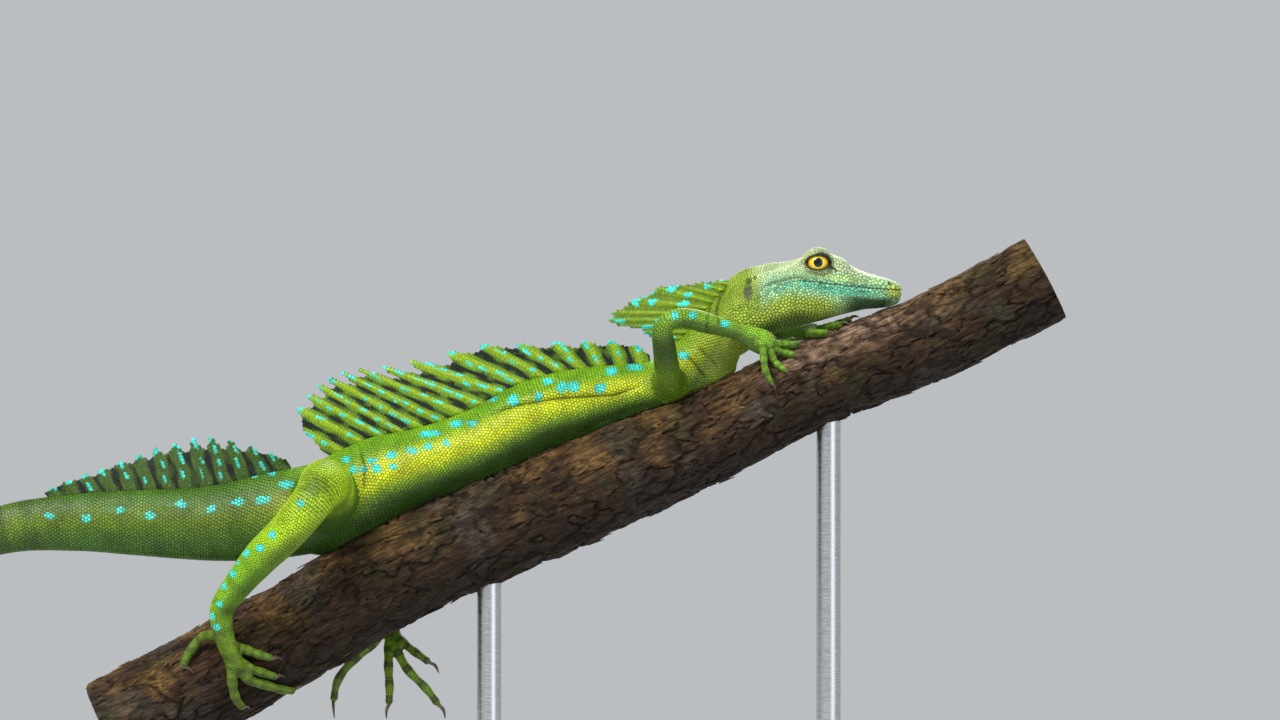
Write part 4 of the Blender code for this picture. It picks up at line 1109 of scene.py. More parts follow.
LIMB_SPOTS = (
    (12.6, 16.3, 1.3, 0.9), (19.3, 16.3, 1.2, 0.8), (31.2, 13.4, 1.2, 0.8),
    (-132.8, -63.1, 1.1, 0.9), (-137.6, -68.3, 1.2, 0.9), (-143.2, -70, 1.1, 0.9), (-148.2, -77.6, 1.2, 0.9),
    (-151.6, -82.2, 1, 0.9), (-153.4, -89, 1, 0.8), (-156.9, -93.9, 1, 0.8), (-154.7, -97.6, 0.9, 0.7),
    (-122.5, -51.6, 0.9, 0.8), (-146.4, -73.4, 0.8, 0.7),
)
SPOT_GROWN = 0.5
SHOULDER_SHADE = ((-1, 9.5, -8), (1, 14, -6.5))
VENT_AT = BODY[16, 0]


def mixed(a, b, share):
    share = np.asarray(share)[:, None]
    a = COLOURS[a] if isinstance(a, str) else a
    b = COLOURS[b] if isinstance(b, str) else b
    return np.asarray(a) * (1 - share) + np.asarray(b) * share


def layered(colour, *layers):
    """Lays colours over the first, each by its share."""
    for over, share in layers:
        colour = mixed(colour, over, share)
    return colour


def cloudy(points, size, seed=0):
    """Soft noise from 0 to 1 over a size in millimetres."""
    found = [smooth_noise((p[0] / size + seed, p[1] / size, p[2] / size)) for p in points.tolist()]
    return np.clip(0.5 + np.array(found) * 0.9, 0, 1)


def body_colours(at, along, turn):
    up = np.cos(turn)
    colour = mixed("back", "flank", ease(0.72, 0.28, up))
    # Painted shade round each arm's root: the flank turns to the darker low_flank green there.
    for side, x, z in SHOULDER_SHADE:
        away = np.hypot((at[:, 0] - x) / 11, (at[:, 2] - z) / 7.5)
        colour = mixed(colour, "low_flank", 0.85 * ease(1, 0.55, away) * (at[:, 1] * side > 0))
    # low_flank and belly darken the lower body, partly its own darker green and partly painted shade;
    # tail_root darkens hips and tail base, partly painted shade too.
    colour = layered(colour, ("low_flank", ease(0.06, -0.38, up)), ("belly", ease(-0.24, -0.64, up)),
                     ("tail_root", 0.85 * ease(VENT_AT + 0.03, VENT_AT - 0.004, along)))
    out = (VENT_AT - along) / MM
    bands = ease(-0.25, 0.35, np.sin(out / 11 * math.tau * (1 - out / 1500)))
    # Under the tail the belly green is partly painted shade.
    banded = layered("tail_light", ("tail_dark", bands),
                     ("tail_end", ease(170, 420, out) * 0.75 * (1 - 0.7 * bands)),
                     ("belly", 0.7 * ease(-0.35, -0.85, up)))
    neck = mixed("nape", "throat", ease(-0.1, -0.8, up))
    return layered(colour, (banded, ease(60, 130, out)),
                   (neck, ease(NECK_FROM - 0.006, BODY_END, along)))


def fold_shade(at, normals):
    """Darker colour down in the pressed folds."""
    shade = np.ones(len(at))
    for sides, width, depth, line in CREASES:
        if depth >= SHADED_DEPTH:
            facing = sum((normals[:, 1] * side > 0.15) * 1 for side in sides)
            shade *= 1 - 0.62 * along_crease(at, line, 0.75 * width) * facing
    return shade


def away_from_pair(at, place):
    """Millimetres from a place or from its mirror on the other side, whichever is nearer."""
    return lengths(np.column_stack([at[:, 0], np.abs(at[:, 1]), at[:, 2]]) - place)


def head_colours(at, normals):
    x, y, z = at.T
    rise = z - mouth_line(x)
    aqua = hump(x, 77, 15) * hump(rise, -2, 2.6) + 0.75 * hump(x, 56, 9) * hump(rise, -1, 2)
    aqua += 0.45 * hump(x, 47.5, 4) * hump(rise, 3.5, 3)
    aqua *= 0.55 + 0.75 * cloudy(at * (0.6, 1, 1.6), 2.4, 4)
    ear = np.hypot((x - EAR_PLACE[0]) / 1.15, (z - EAR_PLACE[1]) / 2.3)
    from_eye, over_eye = x - EYE_PLACE[0], z - EYE_PLACE[2]
    eye = np.hypot(from_eye / 4.4, over_eye / 2.75)
    # above: a painted shadow of the upper lid, a dark crescent over the front of the eye.
    above = np.exp(-((np.hypot(from_eye - 0.9, over_eye * 1.15) - 3.6) / 0.7) ** 4)
    above *= ease(0.25, 0.55, np.abs(normals[:, 1])) * ease(-0.6, 0.9, over_eye + 0.25 * from_eye)
    slit, _ = polyline_distance(at[:, [0, 2]], EYE_SLIT)
    return layered(
        "crown",
        ("snout", ease(66, 84, x)),
        ("nape", ease(48, 39, x + (z - 30) * 0.35)),
        ("cheek", ease(6, 2.4, rise) * ease(42, 50, x)),
        ("aqua", np.clip(aqua, 0, 0.9)),
        ("snout_tip", 0.45 * hump(x, 74, 13) * hump(rise, 2.6, 0.8)),
        ("throat", 0.75 * hump(x, 50, 8) * hump(rise, -5.5, 2.6)),
        ("snout_tip", 0.9 * ease(89.5, 93.5, x) * ease(3.2, 0.8, np.abs(rise + 0.6))),
        ("throat", ease(-3.5, -7.5, rise) * ease(80, 66, x)),
        ("under_jaw", 0.92 * ease(-2.6, -4.6, rise) * ease(72, 80, x) * ease(94.5, 90, x)),
        ("under_jaw", 0.75 * ease(-9, -13.5, rise)),
        ("dark", 0.8 * hump(rise, 0, 0.2) * (0.35 + 0.65 * ease(64, 74, x))),
        ("throat", 0.7 * ease(46, 38, x) * ease(20, 12, z)),
        ("dark", 0.55 * hump(ear, 1.25, 0.22)),
        ("ear", ease(1.15, 0.85, ear)),
        *[("dark", 0.75 * ease(1.25, 0.6, np.hypot(x - a, z - b) / size)) for a, b, size in EAR_DOTS],
        ("eye_rim", 0.8 * hump(eye, 1.3, 0.3)),
        ("dark", 0.95 * ease(1.24, 1.08, eye) * (np.abs(y) > 5)),
        ("dark", 0.95 * above),
        ("dark", 0.85 * ease(0.75, 0.35, slit)),
        # Painted shade in the nostril hollows.
        ("dark", ease(0.85, 0.5, away_from_pair(at, NOSTRIL))),
    )


def limb_colours(group, at, along, normals):
    upward, right = normals[:, 2], group.endswith("right")
    if group.startswith("arm"):
        # arm_under darkens the upper arm and the underside of the forearm as painted shade; on the far arm
        # thigh green lightens it.
        return layered(
            "arm_under",
            ("arm", ease(0.34, 0.5, along)),
            ("thigh", (0 if right else 0.7) * ease(0.46, 0.34, along)),
            ("arm_under", 0.75 * ease(0.15, -0.45, upward) * ease(0.42, 0.52, along)),
            ("low_flank", (0.7 if right else 0.9) * ease(0.34, 0.14, along)),
        )
    # On the legs, knee is painted light that brightens the upper leg, knee_shade is a painted shadow on the
    # near knee, and belly darkens faces that point down as painted shade.
    by_knee = np.hypot((at[:, 0] + 117.5) / 7, (at[:, 2] + 45.5) / 5.5) + 0.35 * cloudy(at, 3, 7)
    stripes = ease(0.2, 0.8, np.sin(along * 74)) * ease(0.55, 0.7, along)
    return layered(
        "thigh",
        ("knee", ease(0.1, 0.24, along)),
        ("low_flank", (0 if right else 0.8) * ease(0.2, 0.06, along)),
        ("knee_shade", (0.75 if right else 0) * ease(1.25, 0.5, by_knee)),
        ("shin", ease(0.46, 0.62, along)),
        ("foot", ease(0.76, 0.9, along)),
        ("toe_dark", 0.35 * stripes),
        ("belly", 0.7 * ease(-0.2, -0.8, upward)),
    )


def paw_colours(group, along, normals):
    bands = (0.75 if group == "foot_left" else 0.45) * ease(0, 0.6, np.sin(along * 30))
    # toe_dark gives the digits their bands, and painted shade on faces that point down.
    return layered("arm" if group.startswith("hand") else "foot", ("toe_dark", bands),
                   ("toe_dark", 0.5 * ease(0.1, -0.6, normals[:, 2])))


def markings(points, normals, tags):
    """The colour of each place, the same for skin and scales."""
    at = millimetres(points)
    groups = tags[:, 0].astype(int)
    colour = np.zeros((len(at), 3))
    for index, group in enumerate(FORM_GROUPS):
        rows = np.nonzero(groups == index)[0]
        if not len(rows):
            continue
        here, along, turn, normal = at[rows], tags[rows, 1], tags[rows, 2], normals[rows]
        if group == "body":
            colour[rows] = body_colours(here, along, turn)
        elif group == "head":
            colour[rows] = head_colours(here, normal)
        elif group.startswith(("arm", "leg")):
            colour[rows] = limb_colours(group, here, along, normal)
        else:
            colour[rows] = paw_colours(group, along, normal)
    for spots, fits, facing in ((SPOTS, groups < FIRST_LIMB, 0.12), (LIMB_SPOTS, groups >= FIRST_LIMB, 0.35)):
        for x, z, long, high in spots:
            inside = np.hypot((at[:, 0] - x) / (long + SPOT_GROWN), (at[:, 2] - z) / (high + SPOT_GROWN))
            spot = (inside < 1) & fits & (np.abs(normals[:, 1]) > facing)
            colour[spot] = np.array(COLOURS["spot"]) * (0.85 + 0.3 * (inside[spot] < 0.6))[:, None]
    # Random patches, times fold_shade: painted shade down in the folds.
    patches_and_fold_shade = (0.8 + 0.4 * cloudy(at, 7)) * fold_shade(at, normals)
    return colour * patches_and_fold_shade[:, None]


skin_colours = markings(skin_points, skin_normals, skin_tags)
timed("markings on", len(skin_colours), "points")

# %% Skin material
def node_of(tree, kind, inputs=(), **settings):
    """A node with its settings and its inputs."""
    made = tree.nodes.new(kind)
    for name, value in settings.items():
        setattr(made, name, value)
    return feed(tree, made, dict(inputs))


def object_place(tree):
    return node_of(tree, "ShaderNodeTexCoord").outputs["Object"]


def vector_node(tree, operation, *parts):
    """The outputs of a sum on vectors."""
    return node_of(tree, "ShaderNodeVectorMath", dict(enumerate(parts)), operation=operation).outputs


def noise_node(tree, scale, detail=3, rough=0.55, place=None):
    place = place or object_place(tree)
    inputs = {"Vector": place, "Scale": scale, "Detail": detail, "Roughness": rough}
    return node_of(tree, "ShaderNodeTexNoise", inputs).outputs["Fac"]


def ranged(tree, value, low, high, out_low, out_high):
    inputs = {"Value": value, "From Min": low, "From Max": high, "To Min": out_low, "To Max": out_high}
    return node_of(tree, "ShaderNodeMapRange", inputs).outputs["Result"]


def uneven(tree, scale, low, high, detail=3, rough=0.55):
    """A value that wanders between two limits."""
    return ranged(tree, noise_node(tree, scale, detail, rough), 0.3, 0.7, low, high)


def multiplied(tree, a, b):
    inputs = {0: 1, 6: a, 7: b}
    return node_of(tree, "ShaderNodeMix", inputs, data_type="RGBA", blend_type="MULTIPLY").outputs[2]


def bumped(tree, height, strength, distance):
    inputs = {"Strength": strength, "Distance": distance, "Height": height}
    return node_of(tree, "ShaderNodeBump", inputs).outputs["Normal"]


def tint_of(tree):
    return node_of(tree, "ShaderNodeAttribute", attribute_name="tint").outputs["Color"]


def mottled_finish(name, colour, mottle, rough, relief, **more):
    """Mottled colour, uneven roughness and fine relief; without a colour it takes the painted tint."""
    made, tree, shader = new_material(name)
    feed(tree, shader, {
        "Base Color": multiplied(tree, colour or tint_of(tree), uneven(tree, *mottle)),
        "Roughness": uneven(tree, *rough),
        "Normal": bumped(tree, noise_node(tree, *relief[:2]), *relief[2:]),
        **more,
    })
    return made


def scaly_material(name, roughness, specular, bump):
    """Skin or scale finish with a dry satin surface."""
    return mottled_finish(name, None, (900, 0.82, 1.14, 4), (260, roughness - 0.08, roughness + 0.1),
                          (2600, 5, bump, 0.00012), **{"Specular IOR Level": specular})


def add_values(mesh, name, kind, values):
    layer = mesh.attributes.new(name, kind, "POINT")
    field = {"FLOAT_VECTOR": "vector", "FLOAT_COLOR": "color"}.get(kind, "value")
    layer.data.foreach_set(field, np.asarray(values, np.int32 if kind == "INT" else np.float32).ravel())


def paint(mesh, colours):
    add_values(mesh, "tint", "FLOAT_COLOR", np.column_stack([colours, np.ones(len(colours))]))


SKIN_FINISH = scaly_material("skin_between_scales", 0.55, 0.35, 0.25)
GAP_SHADE = 0.36
paint(skin.data, skin_colours * GAP_SHADE)
dressed(skin, SKIN_FINISH)
FLESH_NODES = ["head", "neck", "torso"] + ["tail_" + str(number) for number in range(1, 6)]
FLESH_NODES += [part + side for part in ("upper_arm", "forearm", "hand", "thigh", "shin", "foot")
                for side in ("_right", "_left")]
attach(skin, "root")
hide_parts(*FLESH_NODES)
timed("skin painted")

# %% [markdown]
# ## Scales
#
# The coat of a basilisk is a mosaic of small plates that nearly touch. Copying one shape everywhere would
# leave gaps or crossings, so each plate is fitted to the room it has: its corners reach half way to its
# neighbours. On trunk, tail and limbs the plates stand in staggered rows round the body, as on the animal.
# On the head they are scattered, then evened out. Plates tip up toward the rear, where a real scale ends.

# %% Sizes of the scales
TRUNK_SCALE = 1.25
TAIL_TIP_SCALE = 0.95
NAPE_SCALE = 1.05
LIMB_SCALE = 1.05
WRIST_SCALE = 0.95
PAW_SCALE = 0.8
ROW_STEP_SHARE = 0.87
ROW_KEEP = 0.07
SCALE_GAP = 0.075
THROAT_GAP = 0.6
NEAREST = 12
CANDIDATES = 26
SCALE_SEED = 21


def body_scale_size(along):
    """Millimetres between scales at distances from the tip of the tail."""
    tail = TAIL_TIP_SCALE + (TRUNK_SCALE - TAIL_TIP_SCALE) * ease(0, VENT_AT * 0.85, along)
    return tail + (NAPE_SCALE - TRUNK_SCALE) * ease(NECK_FROM - 0.015, BODY_END, along)


def head_scale_size(at):
    """Small scales on lids and temples, wider plates on snout, jaw and throat."""
    x, y, z = at.T
    rise = z - mouth_line(x)
    size = 0.99 + 0 * x
    size += 0.34 * ease(70, 80, x) * ease(0.5, 2.5, rise)
    size += 0.26 * ease(-3, -7, rise) * ease(80, 62, x)
    size += 0.1 * ease(60, 48, x) * ease(4, 1, np.abs(rise + 1))
    size += 0.42 * ease(60, 66, x) * ease(2.1, 1.4, np.abs(rise))
    size -= 0.4 * ease(8, 5.6, away_from_pair(at, EYE_PLACE))
    ear = np.hypot((x - EAR_PLACE[0]) / 1.3, (z - EAR_PLACE[1]) / 2.8)
    return size - 0.25 * ease(2.2, 1.2, ear)


# %% Roots in rows
skin_corners = taken(skin.data.loop_triangles, "vertices", 3, np.int32)
skin_tree = tree_over(skin_points, skin_corners)


def on_skin(points):
    """Nearest places on the skin with their smooth normals and how far away they were."""
    hits = [skin_tree.find_nearest(p) for p in points.tolist()]
    found = np.array([hit[0] for hit in hits])
    corners = skin_corners[[hit[2] for hit in hits]]
    away = 1 / (lengths(skin_points[corners] - found[:, None]) + 1e-6)
    normals = unit((skin_normals[corners] * away[..., None]).sum(axis=1))
    return found, normals, np.array([hit[3] for hit in hits])


def row_roots(rings, sizes):
    """Staggered rows of places round a form, a row step apart along it."""
    step = lengths(np.diff(rings.mean(axis=1), axis=0))
    rows_by = np.concatenate([[0], np.cumsum(step / (ROW_STEP_SHARE * MM * (sizes[1:] + sizes[:-1]) / 2))])
    where = np.interp(np.arange(0.5, rows_by[-1]), rows_by, np.arange(len(rings)))
    found, held = [], 0
    for n, place in enumerate(where):
        i = min(int(place), len(rings) - 2)
        t = place - i
        ring = rings[i] * (1 - t) + rings[i + 1] * t
        closed = np.vstack([ring, ring[:1]])
        walk = np.concatenate([[0], np.cumsum(lengths(np.diff(closed, axis=0)))])
        count = max(int(round(walk[-1] / (sizes[i] * MM))), 3)
        if abs(count - held) > ROW_KEEP * count:
            held = count
        spots = (np.arange(held) + 0.5 * (n % 2)) / held * walk[-1]
        found.append(np.column_stack([np.interp(spots, walk, closed[:, k]) for k in range(3)]))
    return np.concatenate(found)


def tree_of(points):
    tree = KDTree(max(len(points), 1))
    for i, p in enumerate(points.tolist()):
        tree.insert(p, i)
    tree.balance()
    return tree


def clear_of(points, others, sizes, share):
    """Which points keep their distance from the others."""
    if not len(others):
        return np.ones(len(points), bool)
    tree = tree_of(others)
    away = np.array([tree.find(p)[2] for p in points.tolist()])
    return away > share * sizes * MM


def size_at(at, tags):
    """Scale size in mm for places on the skin."""
    groups = tags[:, 0].astype(int)
    size = np.full(len(at), LIMB_SCALE)
    body, head = groups == BODY_GROUP, groups == HEAD_GROUP
    size[body] = body_scale_size(tags[body, 1])
    size[head] = head_scale_size(at[head])
    size[groups >= FIRST_PAW] = PAW_SCALE
    near_paw = (groups >= FIRST_LIMB) & (groups < FIRST_PAW) & (tags[:, 1] > 0.86)
    size[near_paw] = WRIST_SCALE
    return size


def bare(at, normals):
    """Places that carry no scale: inside the sockets, nostrils and ears, and down in the mouth line."""
    x, y, z = at.T
    found = (away_from_pair(at, EYE_PLACE) < EYE_RADIUS + 0.45) | (away_from_pair(at, NOSTRIL) < 0.75)
    found |= (np.hypot((x - EAR_PLACE[0]) / 1.15, (z - EAR_PLACE[1]) / 2.4) < 1) & (np.abs(y) > 8)
    rise = np.abs(z - mouth_line(x))
    return found | ((x > MOUTH_FROM + 1.5) & (rise < 0.3) & (np.abs(normals[:, 2]) < 0.7))


roots = np.empty((0, 3))
for group, rings, along in forms:
    if group == HEAD_GROUP:
        continue
    if group == BODY_GROUP:
        sizes = body_scale_size(along)
    else:
        sizes = np.full(len(along), PAW_SCALE if group >= FIRST_PAW else LIMB_SCALE)
    placed, normals, away = on_skin(row_roots(rings, sizes))
    kept = placed[away < 0.9 * MM]
    kept = kept[clear_of(kept, roots, size_at(millimetres(kept), tags_of(kept)), 0.8)]
    roots = np.concatenate([roots, kept])
timed("roots in rows", len(roots))


# %% Roots scattered on the head and wherever the rows leave room
def scattered(points, corners, count, chance):
    """Even random places on triangles."""
    a, b, c = (points[corners[:, k]] for k in range(3))
    area = lengths(np.cross(b - a, c - a))
    chosen = chance.choice(len(corners), count, p=area / area.sum())
    u, v = np.sqrt(chance.random(count)), chance.random(count)
    return (a[chosen] * (1 - u)[:, None] + b[chosen] * (u * (1 - v))[:, None]
            + c[chosen] * (u * v)[:, None]), corners[chosen, 0]


def thrown(points, sizes, taken, share):
    """Keeps the places, in order, that are clear of all kept so far."""
    cell = 1.6 * MM
    steps = [(a, b, c) for a in (-1, 0, 1) for b in (-1, 0, 1) for c in (-1, 0, 1)]
    grid, kept = {}, []
    for p, home in zip(taken.tolist(), (taken // cell).astype(int).tolist()):
        grid.setdefault(tuple(home), []).append(p)
    homes = (points // cell).astype(int).tolist()
    for i, (p, (a, b, c), size) in enumerate(zip(points.tolist(), homes, sizes.tolist())):
        room = share * size * MM
        around = (q for x, y, z in steps for q in grid.get((a + x, b + y, c + z), ()))
        if all(math.dist(p, q) >= room for q in around):
            grid.setdefault((a, b, c), []).append(p)
            kept.append(i)
    return np.array(kept, int)


def evened(seeds, fixed, cloud, rounds):
    """Moves loose seeds to the middle of the cloud points nearest to them."""
    for _ in range(rounds):
        every = np.concatenate([seeds, fixed])
        tree = tree_of(every)
        owner = np.array([tree.find(p)[1] for p in cloud.tolist()])
        total = np.column_stack([np.bincount(owner, cloud[:, k], len(every)) for k in range(3)])
        held = np.bincount(owner, minlength=len(every))[:, None]
        seeds = np.where(held > 2, total / np.maximum(held, 1), every)[:len(seeds)]
    return on_skin(seeds)[0]


chance = np.random.default_rng(SCALE_SEED)
first = skin_corners[:, 0]
in_head = (skin_tags[first, 0] == HEAD_GROUP) & (millimetres(skin_points[first])[:, 0] > HEAD_KEEP_FROM)
a, b, c = (skin_points[skin_corners[in_head, k]] for k in range(3))
head_area = 0.5 * lengths(np.cross(b - a, c - a)).sum() / MM ** 2
cloud, corner = scattered(skin_points, skin_corners[in_head], int(head_area * CANDIDATES), chance)
keep = ~bare(millimetres(cloud), skin_normals[corner])
cloud, corner = cloud[keep], corner[keep]
kept = thrown(cloud, size_at(millimetres(cloud), skin_tags[corner]), roots, 0.8)
head_roots = evened(cloud[kept], roots, cloud, 2)
roots = np.concatenate([roots, head_roots])
timed("roots on the head", len(head_roots), "over", round(head_area), "square mm")

sizes_here = size_at(millimetres(skin_points), skin_tags)
open_skin = clear_of(skin_points, roots, sizes_here, 0.78) & ~bare(millimetres(skin_points), skin_normals)
loose = skin_corners[open_skin[skin_corners].any(axis=1)]
if len(loose):
    more, corner = scattered(skin_points, loose, len(loose) * 6, chance)
    keep = ~bare(millimetres(more), skin_normals[corner])
    more, corner = more[keep], corner[keep]
    kept = thrown(more, size_at(millimetres(more), skin_tags[corner]), roots, 0.8)
    roots = np.concatenate([roots, more[kept]])
cloud, corner = scattered(skin_points, skin_corners, len(roots) * 9, chance)
root_at, root_out, _ = on_skin(evened(roots, roots[:0], cloud, 1))
root_tags = tags_of(root_at)
root_size = size_at(millimetres(root_at), root_tags)
clear = ~bare(millimetres(root_at), root_out)
root_at, root_out, root_tags, root_size = root_at[clear], root_out[clear], root_tags[clear], root_size[clear]
timed("roots in all", len(root_at))

# %% Lie, height and room of each scale
groups = root_tags[:, 0].astype(int)
way = np.where((groups == BODY_GROUP)[:, None], -root_tags[:, 3:6], root_tags[:, 3:6])
way[groups == HEAD_GROUP] = (-1, 0, -0.12)
root_lie = unit(way - root_out * (way * root_out).sum(axis=1, keepdims=True))
root_height = np.where(groups >= FIRST_PAW, 0.13, np.where(groups >= FIRST_LIMB, 0.18, 0.22))
root_mm = millimetres(root_at)
on_head = groups == HEAD_GROUP
over_mouth = root_mm[:, 2] - mouth_line(np.clip(root_mm[:, 0], HEAD_START, HEAD_END))
low_head = ease(-2, -7, over_mouth)
root_height = np.where(on_head, 0.13 + 0.2 * low_head * ease(82, 66, root_mm[:, 0]), root_height)
throat = (groups == BODY_GROUP) * ease(NECK_FROM, BODY_END, root_tags[:, 1])
throat *= ease(0.2, -0.5, np.cos(root_tags[:, 2]))
root_height = root_height + 0.12 * throat


def cell_reaches(at, outs, lies, sizes, spokes, rows, gaps=SCALE_GAP):
    """How far each corner of a scale may reach, in mm, before it meets a neighbour's cell."""
    tree = tree_of(at)
    near_by = np.array([[hit[1] for hit in tree.find_n(p, NEAREST + 1)][1:] for p in at[rows].tolist()])
    out, lie, size = outs[rows], lies[rows], sizes[rows]
    side = np.cross(out, lie)
    gap = (at[near_by] - at[rows][:, None]) / MM
    over = (gap * out[:, None]).sum(axis=2)
    flat = gap - over[..., None] * out[:, None]
    square = (flat ** 2).sum(axis=2) + (size[:, None] ** 2 - sizes[near_by] ** 2) / 4
    alike = ((outs[near_by] * out[:, None]).sum(axis=2) > 0.1) & (np.abs(over) < 0.9 * size[:, None])
    reaches = []
    for k in range(spokes):
        turn = k * math.tau / spokes
        toward = lie * math.cos(turn) + side * math.sin(turn)
        along = (flat * toward[:, None]).sum(axis=2)
        room = np.where((along > 1e-3) & alike, square / (2 * np.maximum(along, 1e-3)), 9)
        reaches.append(np.clip(room.min(axis=1), 0.22, 0.68 * size) - gaps)
    return np.column_stack(reaches)


# %% One small plate and the tree that fits it everywhere
def fan_faces(spokes, last):
    """The fan from the last ring to the point after it, and the flat face under the first ring."""
    fan = [(last + k, last + (k + 1) % spokes, last + spokes) for k in range(spokes)]
    return fan + [tuple(reversed(range(spokes)))]


def plate_form(name, spokes, rings):
    """A closed plate whose points say how far along each spoke they reach and how high they rise."""
    ways, faces = [], []
    for share, front, rear in rings:
        for k in range(spokes):
            turn = k * math.tau / spokes
            rise = front + (rear - front) * (0.5 + 0.5 * math.cos(turn))
            ways.append((math.cos(turn) * share, math.sin(turn) * share, rise))
    ways.append((0.12, 0, 1))
    for level in range(len(rings) - 1):
        faces += ring_faces(2, spokes, level * spokes).tolist()
    faces += fan_faces(spokes, (len(rings) - 1) * spokes)
    mesh = mesh_of(name, [(a * MM, b * MM, c * MM) for a, b, c in ways], faces)
    tidy_normals(mesh)
    add_values(mesh, "way", "FLOAT_VECTOR", ways)
    add_values(mesh, "spoke", "INT", list(range(spokes)) * len(rings) + [0])
    # The second value is painted shade for each point: the sunk base ring gets 0.34 of the tint, darker where
    # plates meet.
    return add_object(name, mesh), np.array([0.34 if way[2] < 0 else 1 for way in ways])


def node_group(name, inputs, result):
    """An empty geometry tree, the sockets of its inputs and its output node."""
    tree = bpy.data.node_groups.new(name, "GeometryNodeTree")
    for label, kind in inputs:
        tree.interface.new_socket(label, in_out="INPUT", socket_type="NodeSocket" + kind)
    tree.interface.new_socket(result, in_out="OUTPUT", socket_type="NodeSocketGeometry")
    return tree, tree.nodes.new("NodeGroupInput").outputs, tree.nodes.new("NodeGroupOutput")


def named(tree, name, kind="FLOAT_VECTOR"):
    read = node_of(tree, "GeometryNodeInputNamedAttribute", {"Name": name}, data_type=kind)
    return read.outputs["Attribute"]


def ended(tree, geometry, finish, result):
    """Sets the material at the end of a tree."""
    last = node_of(tree, "GeometryNodeSetMaterial", {"Geometry": geometry, "Material": finish})
    feed(tree, result, {0: last.outputs[0]})
    return tree


def grown(piece, tree, values):
    """Works a tree into a piece, after setting its inputs by their identifiers."""
    step = add_step(piece, "NODES", node_group=tree)
    inputs = {item.name: item.identifier for item in tree.interface.items_tree if item.in_out == "INPUT"}
    for name, value in values.items():
        step[inputs[name]] = value
    plain_mesh(piece)


def coat_tree(spokes):
    """Geometry nodes that copy the plate to each root and pull its corners to the room they have."""
    inputs = (("Roots", "Geometry"), ("Plate", "Object"), ("Patch size", "Float"), ("Finish", "Material"))
    tree, given, result = node_group("fitted_plates_" + str(spokes), inputs, "Coat")

    def vector(operation, a, b):
        return vector_node(tree, operation, a, b)[0]

    def scaled(a, factor):
        return node_of(tree, "ShaderNodeVectorMath", {0: a, "Scale": factor}, operation="SCALE").outputs[0]

    plate = node_of(tree, "GeometryNodeObjectInfo", {"Object": given["Plate"]}).outputs["Geometry"]
    copies = node_of(tree, "GeometryNodeInstanceOnPoints", {"Points": given["Roots"], "Instance": plate})
    real = node_of(tree, "GeometryNodeRealizeInstances", {0: copies.outputs[0]})
    reach = node_of(tree, "GeometryNodeIndexSwitch", data_type="FLOAT")
    while len(reach.index_switch_items) < spokes:
        reach.index_switch_items.new()
    feed(tree, reach, {"Index": named(tree, "spoke", "INT")})
    feed(tree, reach, {k + 1: named(tree, "reach_" + str(k), "FLOAT") for k in range(spokes)})
    parts = node_of(tree, "ShaderNodeSeparateXYZ", {0: named(tree, "way")}).outputs
    lie, out = named(tree, "lie"), named(tree, "out")
    flat = vector("ADD", scaled(lie, parts[0]), scaled(vector("CROSS_PRODUCT", out, lie), parts[1]))
    raised = scaled(scaled(out, parts[2]), named(tree, "height", "FLOAT"))
    place = vector("ADD", vector("ADD", scaled(flat, reach.outputs[0]), raised), named(tree, "root_at"))
    put = node_of(tree, "GeometryNodeSetPosition", {"Geometry": real.outputs[0], "Position": place})
    on_patch = node_of(tree, "ShaderNodeCombineXYZ", {0: parts[0], 1: parts[1]}).outputs[0]
    patch = vector("ADD", named(tree, "patch_at"), scaled(on_patch, given["Patch size"]))
    store = node_of(tree, "GeometryNodeStoreNamedAttribute", data_type="FLOAT2", domain="CORNER")
    feed(tree, store, {"Geometry": put.outputs[0], "Name": "OFBake", "Value": patch})
    return ended(tree, store.outputs[0], given["Finish"], result)


BODY_SPOKES, HEAD_SPOKES = 6, 8
PLATES = {
    BODY_SPOKES: plate_form("body_plate", BODY_SPOKES, ((1, -0.8, -0.7), (0.86, 0.45, 0.9))),
    HEAD_SPOKES: plate_form("head_plate", HEAD_SPOKES, ((1, -0.9, -0.9), (0.9, 0.42, 0.62), (0.58, 0.86, 1))),
}
TREES = {spokes: coat_tree(spokes) for spokes in PLATES}
SCALE_FINISH = scaly_material("scale_keratin", 0.45, 0.32, 0.18)
PATCH_HALF = 0.0015
KEPT_LAYERS = ("position", "tint", "OFBake", "material_index")


def coat_piece(name, at, out, lie, height, tint, reaches, patch_at):
    """Grows one joined mesh of scales from its roots, with a plate that has a spoke for each reach."""
    spokes = reaches.shape[1]
    plate, base_ring_shade = PLATES[spokes]
    mesh = mesh_of(name, at, [])
    for label, values in (("root_at", at), ("lie", lie), ("out", out), ("patch_at", patch_at)):
        add_values(mesh, label, "FLOAT_VECTOR", values)
    add_values(mesh, "height", "FLOAT", height * MM)
    paint(mesh, tint)
    for k in range(spokes):
        add_values(mesh, "reach_" + str(k), "FLOAT", reaches[:, k] * MM)
    coat = add_object(name, mesh)
    grown(coat, TREES[spokes], {"Plate": plate, "Patch size": PATCH_HALF, "Finish": SCALE_FINISH})
    mesh = coat.data
    for layer in [layer.name for layer in mesh.attributes]:
        spare = layer not in KEPT_LAYERS and not layer.startswith(".")
        if spare and layer in mesh.attributes and not mesh.attributes[layer].is_required:
            mesh.attributes.remove(mesh.attributes[layer])
    # base_ring_shade: painted shade on the sunk base ring of every scale.
    full = np.repeat(tint, len(base_ring_shade), axis=0) * np.tile(base_ring_shade, len(tint))[:, None]
    full = np.column_stack([full, np.ones(len(full))]).astype(np.float32)
    mesh.color_attributes["tint"].data.foreach_set("color", full.ravel())
    dressed(coat, SCALE_FINISH, 60)
    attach(coat, "root")
    mesh.calc_loop_triangles()
    print(name, len(tint), "scales", len(mesh.loop_triangles), "triangles")
    return coat


